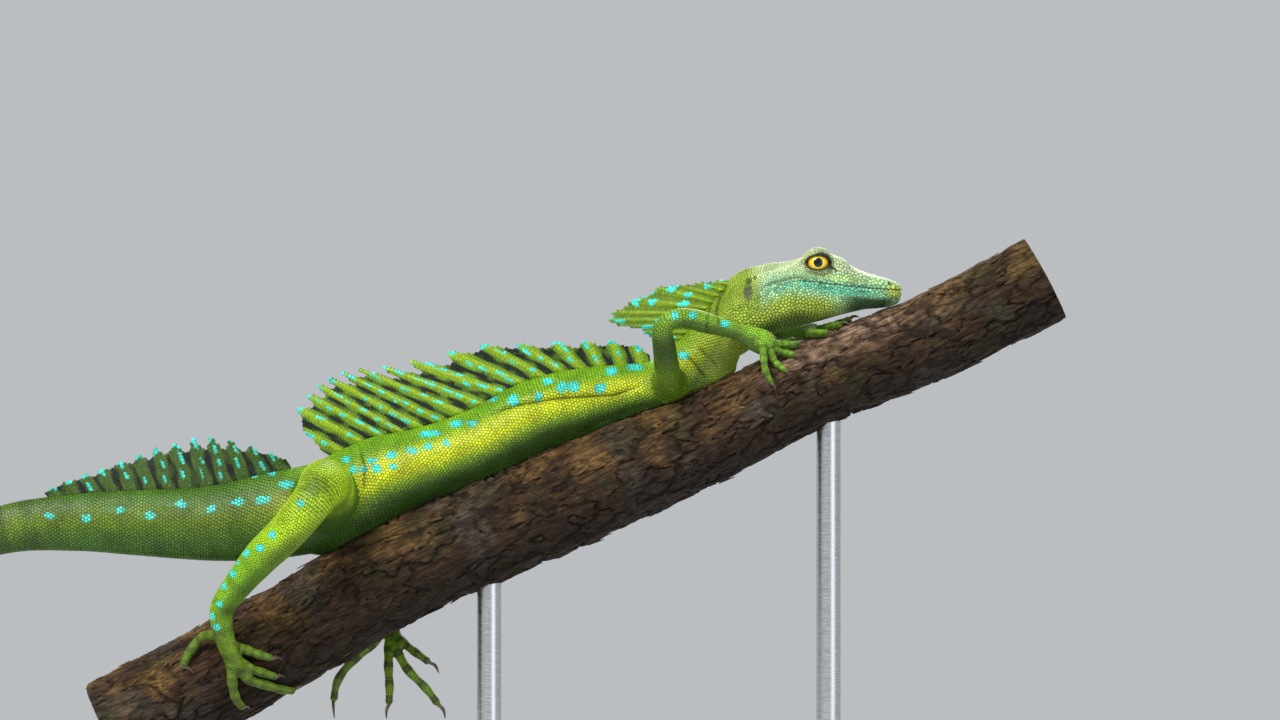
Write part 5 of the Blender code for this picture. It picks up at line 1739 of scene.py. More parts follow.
# %% Grow the coat
PIECE_SCALES = {BODY_SPOKES: 8900, HEAD_SPOKES: 4200}
root_tint = markings(root_at, root_out, root_tags)
on_cheek = on_head * ease(7, 2, np.abs(over_mouth + 2))
shade = (1 + chance.normal(0, 0.09, len(root_tint)) * (1 + 1.3 * on_cheek)).clip(0.6, 1.4)[:, None]
warm = chance.normal(0, 0.035, len(root_tint))[:, None] * np.array([1, 0.2, -1])
root_tint = np.clip(root_tint * (shade + warm), 0, 1)
REGIONS = (("scales_head", (1,), HEAD_SPOKES), ("scales_body", (0,), BODY_SPOKES),
           ("scales_arms", (2, 3, 6, 7), BODY_SPOKES), ("scales_legs", (4, 5, 8, 9), BODY_SPOKES))
gaps = SCALE_GAP * (1 + THROAT_GAP * low_head * on_head)
coat_triangles = 0
for region, members, spokes in REGIONS:
    rows = np.nonzero(np.isin(groups, members))[0]
    rows = rows[np.lexsort((root_tags[rows, 1], groups[rows]))]
    pieces_here = -(-len(rows) // PIECE_SCALES[spokes])
    for number, chosen in enumerate(np.array_split(rows, pieces_here), 1):
        band = np.searchsorted(members, groups[chosen])
        along = root_tags[chosen, 1]
        low, high = along.min(), along.max() + 1e-9
        patch_at = np.column_stack([0.02 + 0.96 * (along - low) / (high - low),
                                    (band + 0.04 + 0.92 * root_tags[chosen, 2] / math.tau) / len(members),
                                    np.zeros(len(chosen))])
        reaches = cell_reaches(root_at, root_out, root_lie, root_size, spokes, chosen, gaps[chosen])
        piece = coat_piece(region + "_" + str(number), root_at[chosen], root_out[chosen], root_lie[chosen],
                           root_height[chosen], root_tint[chosen], reaches, patch_at)
        coat_triangles += len(piece.data.loop_triangles)
timed("coat", coat_triangles, "triangles")

# %% [markdown]
# ## Eyes
#
# Each eye is a glossy ball that sits in its own socket, so that the lids throw a shadow on it. The iris is
# gold with a dark edge and a round black pupil. Its rings are worked out in the material from the distance
# to the middle of the eye, which stays sharp at any size, where painted points would blur.

# %% Eyeballs
PUPIL = 1.75
IRIS = 4


def eye_material():
    """Rings of colour worked out from how far each place is from the middle of the eye."""
    made, tree, shader = new_material("eye_gold")
    middle = (EYE_PLACE[0] * MM, 0, EYE_PLACE[2] * MM + RISE)
    shift = vector_node(tree, "SUBTRACT", object_place(tree), middle)[0]
    flat = vector_node(tree, "MULTIPLY", shift, (1, 0, 1))[0]
    away = vector_node(tree, "LENGTH", flat)["Value"]
    ragged = uneven(tree, 900, -0.00005, 0.00005, 4)
    radius = node_of(tree, "ShaderNodeMath", {0: away, 1: ragged}, operation="ADD").outputs[0]
    share = ranged(tree, radius, 0, EYE_RADIUS * MM, 0, 1)
    iris = node_of(tree, "ShaderNodeValToRGB", {"Fac": share})
    stops = (
        (0, (0.002, 0.002, 0.002)), (PUPIL / EYE_RADIUS - 0.02, (0.003, 0.002, 0.001)),
        (PUPIL / EYE_RADIUS + 0.02, (0.95, 0.78, 0.1)), (0.5, (0.92, 0.64, 0.03)),
        (0.7, (0.8, 0.46, 0.012)), (0.79, (0.45, 0.2, 0.006)), (IRIS / EYE_RADIUS, (0.05, 0.02, 0.004)),
        (0.92, (0.012, 0.01, 0.006)),
    )
    ramp = iris.color_ramp
    for index, (where, colour) in enumerate(stops):
        stop = ramp.elements[index] if index < 2 else ramp.elements.new(where)
        stop.position = where
        stop.color = (*colour, 1)
    streaks = ranged(tree, noise_node(tree, 1900, 5, 0.7), 0.35, 0.65, 0.72, 1.15)
    feed(tree, shader, {
        "Base Color": multiplied(tree, iris.outputs["Color"], streaks),
        "Roughness": uneven(tree, 300, 0.05, 0.12),
        "Specular IOR Level": 0.1, "Coat Weight": 0.8, "Coat Roughness": 0.02,
    })
    return made


EYE_FINISH = eye_material()
for place, word in zip(EYE_PLACES, ("right", "left")):
    eye = ball("eyeball_" + word, place, EYE_RADIUS, 64)
    dressed(eye, EYE_FINISH)
    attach(eye, "root")
    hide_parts("eye_" + word)
print("eyes set, radius", EYE_RADIUS, "mm")

# %% [markdown]
# ## Claws
#
# Every digit ends in a curved claw, flattened from side to side and darker than the toe. A claw is a short
# tapering tube swept from inside the toe's last joint to its tip, bowed upward in the middle.

# %% Curved claws
CLAW_AROUND = 10
CLAW_STEPS = 12
CLAW_SHARE = 0.56


def claw_rings(points, thick):
    """Rings of one claw, from inside the toe to the tip."""
    root, tip = points[-2], points[-1]
    run = unit(tip - root)
    long = np.linalg.norm(tip - root)
    raised = np.array([0, 0, 1]) - run * run[2]
    raised = unit(raised) if np.linalg.norm(raised) > 0.2 else np.array([0, -1, 0])
    across = np.cross(run, raised)
    rings = []
    turns = even_turns(CLAW_AROUND)
    for t in np.linspace(-0.18, 1, CLAW_STEPS):
        bow = 0.16 * long * math.sin(math.pi * min(max(t, 0), 1) ** 0.8)
        middle = root + run * long * t + raised * bow
        radius = thick * DIGIT_TAPER * CLAW_SHARE * MM * (1 - max(t, 0)) ** 0.62 + 0.05 * MM
        rings.append(middle + raised * (np.cos(turns) * radius)[:, None]
                     + across * (np.sin(turns) * radius * 0.72)[:, None])
    return np.array(rings)


CLAW_FINISH = mottled_finish("claw_horn", None, (1500, 0.6, 1.25, 4), (500, 0.22, 0.4),
                             (2400, 4, 0.2, 0.0001))
claws = closed_tube("claws", *[claw_rings(points, thick) for _, _, points, thick in digit_paths])
to_tip = np.tile(np.repeat(np.linspace(0, 1, CLAW_STEPS), CLAW_AROUND), len(digit_paths))
paint(claws.data, mixed("claw_root", "claw_tip", to_tip))
dressed(claws, CLAW_FINISH)
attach(claws, "root")
print("claws", len(digit_paths))

# %% [markdown]
# ## Sails and crest
#
# A basilisk's back and tail carry thin sails held up by bony rays, and the head a fan-shaped crest. Each is
# one closed sheet on a fine grid. A ray is a ridge raised on both faces of the sheet, and between rays the
# edge falls back into a notch, so the tips stand out like teeth. The sheet is rooted under the skin.

# %% Tables of the sails
DORSAL_ROWS = (
    # x of the root, length, lean in degrees from straight ahead
    (-115.5, 3, 150), (-109, 21, 152), (-101.5, 27.5, 151), (-91, 34.5, 150), (-79, 40, 152),
    (-66, 41, 156), (-54, 37, 160), (-47, 31, 158), (-38, 25, 151), (-30, 18.5, 146),
    (-20, 12.5, 130), (-10, 10, 115), (-1, 7.5, 105), (4, 2.5, 100),
)
TAIL_SAIL_ROWS = (
    (-221, 1.6, 130), (-214, 4.5, 125), (-200, 8, 118), (-187, 12, 112), (-172, 16.5, 108),
    (-160, 18.5, 106), (-152, 17.5, 108), (-143.5, 13.5, 112), (-136, 9, 118), (-129.5, 3, 120),
)
CREST_ROWS = (
    (12, 2, 172), (14.5, 8.9, 178), (16.5, 14.6, 179), (18, 18.4, 178), (19.5, 29, 179), (21, 32.9, 178.6),
    (23, 33.2, 178), (25, 27, 172.5), (27, 19.6, 163.5), (29, 13.6, 164.5), (31.5, 6.4, 164), (33.5, 2, 170),
)
Sail = namedtuple("Sail", "name table rays thick wave notch levels node")
SAILS = (
    # rays in number, thickness share, wave in mm, notch as a share of the length, levels up the sheet
    Sail("sail_of_the_back", DORSAL_ROWS, 16, 1, 1.2, 0.2, 46, "sail_back"),
    Sail("sail_of_the_tail", TAIL_SAIL_ROWS, 13, 1, 1.2, 0.19, 26, "sail_tail"),
    Sail("crest_of_the_head", CREST_ROWS, 11, 1.4, 0.6, 0.06, 40, "crest_head"),
)
RAY_COLUMNS = 14
RAY_RIDGE = (0.62, 0.26)
SHEET_HALF = (0.34, 0.15)
SAIL_ROOTED = 1.3
SAIL_DROOP = 0.015
SAIL_SHADE = 0.8

# %% Sheets of the sails
back_points = body_rings(BODY_PLACES, np.array([0]))[:, 0]


def back_at(x):
    """Points of the back line over places in mm along x, and the direction square to it."""
    found, ahead = (np.column_stack([np.interp(x * MM + step, back_points[:, 0], back_points[:, k])
                                     for k in range(3)]) for step in (0, 2 * MM))
    run = unit((ahead - found)[:, [0, 2]])
    return found, np.column_stack([-run[:, 1], np.zeros(len(x)), run[:, 0]])


def ray_share(sail, x):
    """Places along a sail counted in rays, and the millimetres from ray to ray."""
    pitch = (sail.table[-1][0] - sail.table[0][0]) / sail.rays
    return (x - sail.table[0][0]) / pitch, pitch


def sail_sheet(sail, x, level, side):
    """Points of one face of a sail over arrays of root place and level from root to edge."""
    chance = random.Random(sail.name)
    notches = [sail.notch * chance.uniform(0.6, 1.6) for _ in range(sail.rays + 1)]
    share, _ = ray_share(sail, x)
    row = curve(sail.table, x)
    off = share - np.floor(share) - 0.5
    depth = np.interp(share, np.arange(len(notches)), notches)
    reach = 1 - depth * (1 - hump(off, 0, 0.23))
    lean = np.radians(row[:, 2])
    way = np.column_stack([np.cos(lean), np.zeros(len(x)), np.sin(lean)])
    root, up = back_at(x)
    out = row[:, 1] * reach * level
    middle = root + up * 0.3 * MM + way * ((out - SAIL_ROOTED * (level <= 0)) * MM)[:, None]
    middle[:, 2] -= row[:, 1] * MM * SAIL_DROOP * level ** 2
    middle[:, 1] += sail.wave * MM * np.sin(x * 0.06) * level ** 2
    ridge = RAY_RIDGE[0] * sail.thick + (RAY_RIDGE[1] - RAY_RIDGE[0] * sail.thick) * level
    sheet = SHEET_HALF[0] + (SHEET_HALF[1] - SHEET_HALF[0]) * np.minimum(level * 4, 1)
    half = sheet + (ridge - sheet * 0.5) * hump(off, 0, 0.13 if sail.thick < 1.2 else 0.24)
    half *= 1 - 0.35 * ease(0.94, 1, level)
    middle[:, 1] += side * half * MM
    return middle


def cloudy_pair(x, long):
    found = [smooth_noise((a * 0.35, b * 0.18, 3.7)) for a, b in zip(x.tolist(), long.tolist())]
    return np.clip(0.5 + np.array(found), 0, 1)


def sail_colours(sail, x, level):
    """Rays of bright green with turquoise blots and a painted highlight along each ridge, and dark web
    between them.
    """
    share, pitch = ray_share(sail, x)
    ray = np.floor(share)
    off = share - ray - 0.5
    length = curve(sail.table, x)[:, 1]
    long = length * level
    crest, tail = sail.node == "crest_head", sail.node == "sail_tail"
    ray_colour = "crest" if crest else "tail_ray" if tail else "ray"
    shape = ease(0.4, 0.27, np.abs(off + 0.06 * np.sin(long * 0.4 + ray * 2)))
    edge = hump((1 - level) * length, 0, 1.1)
    colour = layered(
        "crest_dark" if crest else "web_dark",
        (ray_colour, 0.45 * ease(0.5, 0.9, cloudy_pair(x, long))),
        (ray_colour, 0.6 + 0.4 * shape if crest else shape),
        ("tail_ray" if tail else "ray_painted_highlight", (0.55 if crest else 0.9) * ease(0.26, 0.06, np.abs(off))),
        ("crest_dark", (0.35 if crest else 0) * ease(0.55, 0.95, level)),
    )
    chance = random.Random(sail.name + "blots")
    for number in range(sail.rays):
        place = chance.uniform(2, 6)
        while place < 46:
            half_long, half_wide = chance.uniform(1.1, 2.5), chance.uniform(0.5, 0.85)
            aside = share * pitch - (number + 0.5) * pitch - chance.uniform(-0.16, 0.16) * pitch
            inside = np.hypot((long - place) / half_long, aside / half_wide)
            if chance.random() < (0.6 if crest else 0.93):
                colour[inside < 1] = np.array(COLOURS["spot"]) * (0.8 if tail else 1)
            place += chance.uniform(4.6, 7.4)
    ragged = cloudy_pair(x * 3, long * 3) > 0.55 if crest else np.abs(off) < 0.2
    colour[(edge > 0.5) & (level > 0.5) & ragged] = np.array(COLOURS["spot"]) * 0.85
    return colour


SAIL_FINISH = scaly_material("sail_sheet", 0.5, 0.35, 0.5)
for sail in SAILS:
    columns = sail.rays * RAY_COLUMNS + 1
    x = np.linspace(sail.table[0][0], sail.table[-1][0], columns).repeat(sail.levels)
    level = np.tile(np.concatenate([[0, 0.012], np.linspace(0.04, 1, sail.levels - 2)]), columns)
    shape = (columns, sail.levels, 3)
    near_face, far_face = (sail_sheet(sail, x, level, side).reshape(shape) for side in (-1, 1))
    made = closed_tube(sail.name, np.concatenate([near_face, far_face[:, ::-1]], axis=1))
    tint = sail_colours(sail, x, level).reshape(shape) * SAIL_SHADE
    paint(made.data, np.concatenate([tint, tint[:, ::-1]], axis=1).reshape(-1, 3))
    dressed(made, SAIL_FINISH)
    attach(made, "root")
    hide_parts(sail.node)
    print(sail.name, len(made.data.polygons), "faces")

# %% Scales of the sails
SAIL_SCALE = 1.22
SAIL_SCALE_LONG = 1.38
SAIL_SCALE_HEIGHT = 0.12
LINE_TRIES = 600


def sail_roots(sail, side):
    """Roots in lines from the back out to the edge, with their normals and the way outward."""
    tries = np.linspace(sail.table[0][0] + 0.3, sail.table[-1][0] - 0.3, LINE_TRIES)
    middle, ahead = (sail_sheet(sail, tries, np.full(LINE_TRIES, level), side) for level in (0.35, 0.36))
    way = unit(ahead - middle)
    step = np.diff(middle, axis=0)
    step = lengths(step - way[:-1] * (step * way[:-1]).sum(axis=1, keepdims=True))
    walk = np.concatenate([[0], np.cumsum(step)]) / (SAIL_SCALE * MM)
    lines = np.interp(np.arange(0.5, walk[-1]), walk, tries)
    xs, levels = [], []
    for n, x in enumerate(lines):
        long = curve(sail.table, np.array([x]))[0, 1]
        spots = (np.arange(0.6 + 0.5 * (n % 2), long * 0.99 / SAIL_SCALE_LONG) * SAIL_SCALE_LONG) / long
        xs.append(np.full(len(spots), x))
        levels.append(spots)
    x, level = np.concatenate(xs), np.concatenate(levels)
    places = [sail_sheet(sail, x + dx, level + dl, side) for dx, dl in ((0, 0), (0.05, 0), (0, 0.01))]
    lie = unit(places[2] - places[0])
    out = unit(np.cross(places[1] - places[0], lie))
    out *= np.sign(out[:, 1] * side)[:, None]
    lie = unit(lie - out * (lie * out).sum(axis=1, keepdims=True))
    return x, level, places[0], out, lie


for sail in SAILS:
    both = [sail_roots(sail, side) for side in (-1, 1)]
    x, level, at, out, lie = (np.concatenate(parts) for parts in zip(*both))
    tint = sail_colours(sail, x, level)
    tint = tint * chance.normal(1, 0.12, len(x)).clip(0.7, 1.3)[:, None]
    across = np.where(np.arange(len(x)) < len(both[0][0]), 0, 0.5)
    patch_at = np.column_stack([0.02 + 0.96 * (x - x.min()) / np.ptp(x), 0.02 + across + 0.46 * level, 0 * x])
    sizes = np.full(len(x), SAIL_SCALE_LONG)
    reaches = cell_reaches(at, out, lie, sizes, BODY_SPOKES, np.arange(len(x)))
    coat_piece("scales_" + sail.name, at, out, lie, np.full(len(x), SAIL_SCALE_HEIGHT), np.clip(tint, 0, 1),
               reaches, patch_at)
drop(*[plate for plate, _ in PLATES.values()])

# %% [markdown]
# ## Perch
#
# The perch is a cut length of an old branch: flaking bark in long plates with cracks between them, ochre on
# top, partly worn and partly painted light, and almost black below and in the cracks with painted shade. The
# bark is a fine grid whose points are pushed in along cracks and under plates, never outward past the solid,
# because the feet rest on it.
# The sawn ends show rings of growth.

# %% Bark relief
BARK_COLUMNS = 516
BARK_AROUND = 160
BARK_PROUD = 0.25
BARK_LAYERS = 4
BARK_REACH = 14
CAP_RINGS = 26
SAWN_CRACKS = (0.4, 1.9, 2.7, 4.1, 5.3)
GROWTH_RINGS = 17


def bark_places(x, turn):
    """Places in mm on a plain straight branch, where the pattern of the bark is worked out."""
    return np.column_stack([x / MM, np.cos(turn) * BARK_REACH, np.sin(turn) * BARK_REACH])


def bark_relief(x, turn):
    """Depth in mm under the full surface, how much of a crack each place is, and its shade."""
    plates, small, rough, layers = [], [], [], []
    for a, b, c in bark_places(x, turn).tolist():
        bend = smooth_noise((a * 0.05, b * 0.12, c * 0.12)) * 3
        wander = smooth_noise((a * 0.16, b * 0.3, c * 0.3))
        near = voronoi_near((a * 0.034 + bend * 0.16, b * 0.15 + bend * 0.22 + wander * 0.5, c * 0.15))[0]
        fresh = 0.5 + 0.5 * smooth_noise((a * 0.03 + 9, b * 0.08, c * 0.08))
        plates.append((near[1] - near[0]) + 0.1 * max(0, fresh - 0.42))
        near = voronoi_near((a * 0.13 + wander * 0.8, b * 0.4, c * 0.4 + bend * 0.3))[0]
        small.append(near[1] - near[0])
        ragged = smooth_noise((a * 0.4, b * 0.8, c * 0.8))
        rough.append(ragged + 0.6 * smooth_noise((a * 1.1, b * 1.7, c * 1.7)))
        layers.append(smooth_noise((a * 0.06 + 3, b * 0.21, c * 0.21)) + 0.3 * wander + 0.14 * ragged)
    plates, small, rough = np.array(plates), np.array(small), np.array(rough)
    crack = ease(0.1, 0, plates)
    chip = ease(0.09, 0, small)
    step = (np.array(layers) + 1) * BARK_LAYERS
    whole = np.floor(step)
    layer = (whole + ease(0.4, 0.62, step - whole)) / (2 * BARK_LAYERS)
    edge = ease(0.3, 0.45, step - whole) * ease(0.66, 0.52, step - whole)
    depth = 1.25 * crack + 0.4 * chip + 0.2 * (0.5 + 0.5 * rough) + np.clip(2.4 * (0.6 - layer), 0, 1)
    shade = rough + 1.6 * (whole % 2 - 0.5)
    return depth - BARK_PROUD, np.clip(0.8 * crack + 0.3 * chip + 0.4 * edge, 0, 1), shade


def bark_colours(x, turn, crack, rough):
    """Ochre on top, partly wear and partly painted light; near black below and in cracks as painted shade;
    with a pale patch by the hand.
    """
    top, flat = np.cos(turn), bark_places(x, turn)
    fine = cloudy(flat, 3, 2)
    by_hand = hump(x / MM, 78, 26) * ease(0.1, 0.75, top)
    colour = layered(
        "bark",
        ("bark_worn_and_lit", ease(0.35, 0.85, 0.45 * top + 0.6 * cloudy(flat, 11, 5))),
        ("bark_grey", 0.7 * ease(0.6, 0.8, cloudy(flat, 17, 9))),
        ("bark_moss", 0.3 * ease(0.66, 0.82, cloudy(flat, 8, 13))),
        ("bark_pale", np.clip(by_hand * (0.3 + 1.1 * fine), 0, 0.9)),
        ("bark_painted_shade", 0.6 * ease(0.1, -0.7, top)),
    )
    colour = colour * (0.75 + 0.5 * fine)[:, None] * (1 + 0.18 * rough)[:, None]
    return mixed(colour, "bark_painted_shade", 0.85 * crack)


# %% Branch with sawn ends
BRANCH_SLOPE = math.atan2(BRANCH[-1, 1] - BRANCH[0, 1], BRANCH_END - BRANCH_START)
along = np.linspace(BRANCH_START, BRANCH_END, BARK_COLUMNS)
around = even_turns(BARK_AROUND)
grid_x, grid_turn = [part.ravel() for part in np.meshgrid(along, around, indexing="ij")]
depth, crack, rough = bark_relief(grid_x, grid_turn)
bark_rings = branch_points(grid_x, grid_turn, -depth * MM).reshape(BARK_COLUMNS, BARK_AROUND, 3)
bark_tint = bark_colours(grid_x, grid_turn, crack, rough)
capped = np.linspace(0.04, 0.96, CAP_RINGS)
shares = np.concatenate([capped, np.ones(BARK_COLUMNS), capped[::-1]])
column = np.clip(np.arange(len(shares)) - CAP_RINGS, 0, BARK_COLUMNS - 1)
rims = bark_rings[column]
middles = rims.mean(axis=1, keepdims=True)
branch_rings = middles + (rims - middles) * shares[:, None, None]
branch_tints = bark_tint.reshape(bark_rings.shape)[column]
sawn = shares < 1
share, turn = shares[sawn].repeat(BARK_AROUND), np.tile(around, sawn.sum())
split = np.min([np.abs(np.sin((turn - crack_at) / 2)) for crack_at in SAWN_CRACKS], axis=0)
tint = mixed("sawn", "sawn_ring", 0.35 + 0.25 * np.sin(turn * 3 + 2 + 6 * share))
# Painted shade in the radial splits of the sawn ends.
tint = mixed(tint, "bark_painted_shade", 0.8 * hump(split, 0, 0.016) * ease(0.2, 0.7, share))
branch_tints[sawn] = mixed(tint, "bark", share > 0.93).reshape(-1, BARK_AROUND, 3)


def along_grain(tree, stretch):
    """Object coordinates turned so that x runs down the branch, and squeezed along it."""
    inputs = {"Vector": object_place(tree), "Rotation": (0, BRANCH_SLOPE, 0)}
    turned = node_of(tree, "ShaderNodeMapping", inputs)
    squeezed = {"Vector": turned.outputs["Vector"], "Scale": (stretch, 1, 1)}
    return node_of(tree, "ShaderNodeMapping", squeezed).outputs["Vector"]


def bark_material(name, crack_shade):
    """Fibres and fine cracks that run with the grain, in colour and in relief, with painted shade darkening
    the cracks.
    """
    made, tree, shader = new_material(name)
    fibre = noise_node(tree, 800, 7, 0.68, along_grain(tree, 0.22))
    colour = multiplied(tree, tint_of(tree), ranged(tree, fibre, 0.32, 0.68, 0.45, 1.5))
    cells = node_of(tree, "ShaderNodeTexVoronoi", feature="DISTANCE_TO_EDGE")
    feed(tree, cells, {"Vector": along_grain(tree, 0.16), "Scale": 380.0})
    # crack_shade: painted shade that darkens the colour in the fine cracks.
    whole = ranged(tree, cells.outputs["Distance"], 0, 0.09, 1 - crack_shade, 1)
    feed(tree, shader, {
        "Base Color": multiplied(tree, colour, whole),
        "Roughness": uneven(tree, 300, 0.7, 0.95),
        "Specular IOR Level": 0.22,
        "Normal": bumped(tree, multiplied(tree, fibre, whole), 0.9, 0.0011),
    })
    return made


def sawn_material():
    """Rings of growth over a sawn end, read from each place's share of the way out to the bark."""
    made, tree, shader = new_material("sawn_wood")
    out = node_of(tree, "ShaderNodeAttribute", attribute_name="ring").outputs["Fac"]
    wavy = uneven(tree, 60, -2.2, 2.2, 1)
    inputs = {0: out, 1: GROWTH_RINGS * math.tau, 2: wavy}
    turns = node_of(tree, "ShaderNodeMath", inputs, operation="MULTIPLY_ADD").outputs[0]
    wave = node_of(tree, "ShaderNodeMath", {0: turns}, operation="SINE").outputs[0]
    colour = multiplied(tree, tint_of(tree), ranged(tree, wave, -0.2, 1, 1.08, 0.55))
    grain = uneven(tree, 1500, 0.75, 1.2, 5, 0.65)
    feed(tree, shader, {
        "Base Color": multiplied(tree, colour, grain),
        "Roughness": uneven(tree, 300, 0.65, 0.85),
        "Specular IOR Level": 0.22,
        "Normal": bumped(tree, grain, 0.5, 0.0004),
    })
    return made


branch = closed_tube("branch", branch_rings)
paint(branch.data, branch_tints.reshape(-1, 3))
from_middle = lengths(branch_rings - middles) / (2 * BARK_REACH * MM)
add_values(branch.data, "ring", "FLOAT", from_middle)
dressed(branch, bark_material("old_bark", 0.6), 55)
branch.data.materials.append(sawn_material())
on_end = np.append((sawn[1:] | sawn[:-1]).repeat(BARK_AROUND), [True, True])
branch.data.polygons.foreach_set("material_index", on_end.astype(np.int32))
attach(branch, "root")
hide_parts("perch_branch")
timed("branch", len(branch.data.polygons), "faces")

# %% [markdown]
# ## Loose flakes of bark
#
# Old bark lifts in thin chips. A grid can't show an edge that stands clear, so each chip is a small closed
# plate with an uneven rim and one raised end. Geometry nodes stand hundreds of copies along the grain, each
# with its own length. None is placed where the animal touches the bark.

# %% Chips and the tree that spreads them
FLAKES = 800
FLAKE_SPOKES = 7
FLAKE_CLEAR = 3
FLAKE_ENDS = 9
FLAKE_LONGEST = 3.9
FLAKE_TURN = 0.3


def flake_form(number):
    """A chip of half length 1 with an uneven rim and one end raised."""
    chance = random.Random(60 + number)
    rim = []
    for k in range(FLAKE_SPOKES):
        turn = k * math.tau / FLAKE_SPOKES + chance.uniform(-0.3, 0.3)
        rim.append((math.cos(turn) * chance.uniform(0.7, 1.2), math.sin(turn) * chance.uniform(0.14, 0.36)))
    points = []
    for share, thick in ((1, -0.03), (1, 0.045), (0.6, 0.065)):
        for x, y in rim:
            lift = 0.1 * (0.5 + 0.5 * x * share) ** 2 - 0.25 * (y * share) ** 2
            points.append((x * share, y * share, lift + thick))
    points.append((0, 0, 0.09))
    faces = [face for level in (0, 1) for face in ring_faces(2, FLAKE_SPOKES, level * FLAKE_SPOKES).tolist()]
    faces += fan_faces(FLAKE_SPOKES, 2 * FLAKE_SPOKES)
    mesh = mesh_of("chip", points, faces)
    tidy_normals(mesh)
    return add_object("chip", mesh)


def flake_tree():
    """Geometry nodes that stand a chip on each root, along its grain."""
    inputs = (("Roots", "Geometry"), ("Chip", "Object"), ("Shortest", "Float"), ("Longest", "Float"),
              ("Seed", "Int"), ("Finish", "Material"))
    tree, given, result = node_group("chips_on_bark", inputs, "Chips")
    turn = node_of(tree, "FunctionNodeAxesToRotation", primary_axis="Z", secondary_axis="X")
    feed(tree, turn, {"Primary Axis": named(tree, "out"), "Secondary Axis": named(tree, "lie")})
    length = node_of(tree, "FunctionNodeRandomValue", data_type="FLOAT")
    plain = {socket.name: socket for socket in length.inputs if socket.enabled}
    for inner, outer in (("Min", "Shortest"), ("Max", "Longest"), ("Seed", "Seed")):
        tree.links.new(given[outer], plain[inner])
    chip = node_of(tree, "GeometryNodeObjectInfo", {"Object": given["Chip"]}).outputs["Geometry"]
    copies = node_of(tree, "GeometryNodeInstanceOnPoints", {"Points": given["Roots"], "Instance": chip})
    long = [out for out in length.outputs if out.enabled][0]
    feed(tree, copies, {"Rotation": turn.outputs[0], "Scale": long})
    real = node_of(tree, "GeometryNodeRealizeInstances", {0: copies.outputs[0]})
    return ended(tree, real.outputs[0], given["Finish"], result)


# %% Chips on the bark
inside = (grid_x > BRANCH_START + FLAKE_ENDS * MM) & (grid_x < BRANCH_END - FLAKE_ENDS * MM) & (crack < 0.25)
chosen = chance.choice(np.nonzero(inside)[0], FLAKES * 2, replace=False)
bark_points = bark_rings.reshape(-1, 3)
free = [skin_tree.find_nearest(p, FLAKE_CLEAR * MM)[0] is None for p in bark_points[chosen].tolist()]
chosen = chosen[free][:FLAKES]
flake_at, flake_x, flake_turn = bark_points[chosen], grid_x[chosen], grid_turn[chosen]
flake_out = unit(branch_points(flake_x, flake_turn) - branch_points(flake_x, flake_turn, -5 * MM))
grain = unit(branch_points(flake_x + MM, flake_turn) - branch_points(flake_x - MM, flake_turn))
aside = np.cross(flake_out, grain)
swing = chance.normal(0, FLAKE_TURN, len(chosen))[:, None]
swing = swing + math.pi * chance.integers(0, 2, len(chosen))[:, None]
flake_lie = grain * np.cos(swing) + aside * np.sin(swing)
flake_tint = bark_tint[chosen] * chance.normal(1.04, 0.13, len(chosen)).clip(0.7, 1.4)[:, None]
# Some chips on top are lighter ochre: partly wear, partly painted light.
worn_and_lit = (chance.random(len(chosen)) < 0.3) * ease(0.1, 0.8, np.cos(flake_turn))
flake_tint = mixed(flake_tint, "bark_worn_and_lit", 0.6 * worn_and_lit)
FLAKE_TREE = flake_tree()
FLAKE_FINISH = bark_material("loose_bark", 0.45)
for number in range(3):
    rows = np.arange(number, len(chosen), 3)
    chips = add_object("bark_chips_" + str(number + 1), mesh_of("bark_chips", flake_at[rows], []))
    add_values(chips.data, "out", "FLOAT_VECTOR", flake_out[rows])
    add_values(chips.data, "lie", "FLOAT_VECTOR", flake_lie[rows])
    paint(chips.data, flake_tint[rows])
    form = flake_form(number)
    lengths = {"Shortest": 0.3 * FLAKE_LONGEST * MM, "Longest": FLAKE_LONGEST * MM}
    grown(chips, FLAKE_TREE, {"Chip": form, "Seed": 5 + number, "Finish": FLAKE_FINISH, **lengths})
    drop(form)
    chips.data.materials.clear()
    chips.data.materials.append(FLAKE_FINISH)
    chips.data.set_sharp_from_angle(angle=math.radians(40))
    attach(chips, "root")
    print(chips.name, len(rows), "chips", len(chips.data.polygons), "faces")

# %% [markdown]
# ## Stand
#
# A plain museum stand holds the perch: a board painted dark, and two steel rods with turned collars. The
# board keeps its solid shape and only gets its paint. The rods are turned again with many more sides, so
# that the highlight runs clean down the steel.

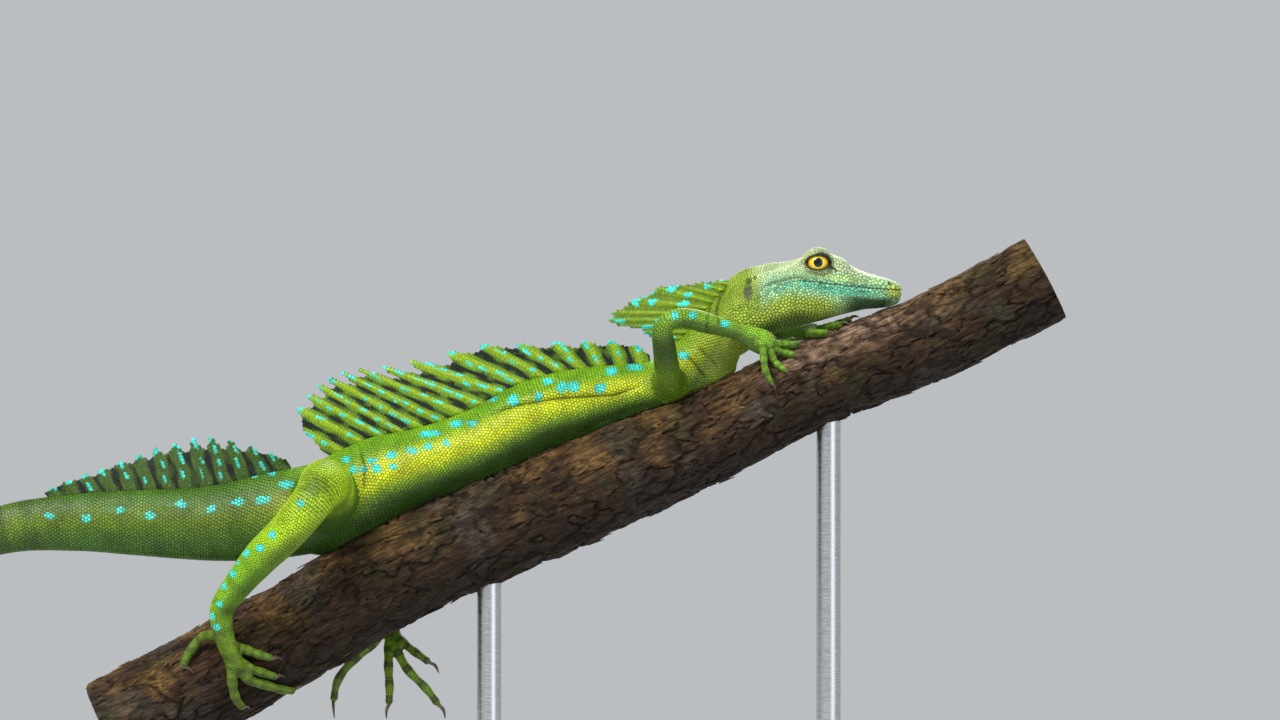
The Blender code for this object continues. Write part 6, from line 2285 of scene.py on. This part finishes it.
# %% Turned rods and painted board
ROD_PROFILE = ((0.011, 0), (0.011, 0.0046), (0.0106, 0.0054), (0.0098, 0.0059), (0.0062, 0.0062),
               (0.0053, 0.0066), (0.0048, 0.0074), (0.0045, 0.0086))
ROD_AROUND = 48


def turned_rod(name, node):
    """A rod of revolution over the solid it replaces, with a softened collar at its foot."""
    low, high = np.array(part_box(node)[0]), np.array(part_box(node)[1])
    middle = (low + high) / 2
    heights = [(radius, low[2] + z) for radius, z in ROD_PROFILE]
    heights += [(ROD_PROFILE[-1][0], z) for z in np.linspace(low[2] + 0.02, high[2], 24)]
    turns = even_turns(ROD_AROUND)
    rings = [np.column_stack([middle[0] + radius * np.cos(turns), middle[1] + radius * np.sin(turns),
                              np.full(ROD_AROUND, z)]) for radius, z in heights]
    return closed_tube(name, np.array(rings))


def steel_material():
    made, tree, shader = new_material("brushed_steel")
    stretch = node_of(tree, "ShaderNodeMapping", {"Vector": object_place(tree), "Scale": (1, 1, 14)})
    lines = noise_node(tree, 240, 5, 0.5, stretch.outputs["Vector"])
    shade = ranged(tree, lines, 0.3, 0.7, 0.86, 1.08)
    feed(tree, shader, {
        "Base Color": multiplied(tree, (0.56, 0.57, 0.59, 1), shade),
        "Roughness": ranged(tree, lines, 0.3, 0.7, 0.22, 0.38),
        "Metallic": 1,
        "Normal": bumped(tree, lines, 0.15, 0.0001),
    })
    return made


STEEL_FINISH = steel_material()
for number in (1, 2):
    rod = turned_rod("display_rod_" + str(number), "stand_rod_" + str(number))
    dressed(rod, STEEL_FINISH, 50)
    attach(rod, "root")
    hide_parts("stand_rod_" + str(number))
BOARD_COLOUR = (0.045, 0.046, 0.05, 1)
BOARD_FINISH = mottled_finish("board_paint", BOARD_COLOUR, (45, 0.85, 1.2, 5), (160, 0.36, 0.52, 5),
                              (1500, 3, 0.25, 0.0002))
for slot in bpy.data.objects["stand_base"].material_slots:
    slot.material = BOARD_FINISH
print("stand finished")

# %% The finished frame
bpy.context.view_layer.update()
timed("ready")
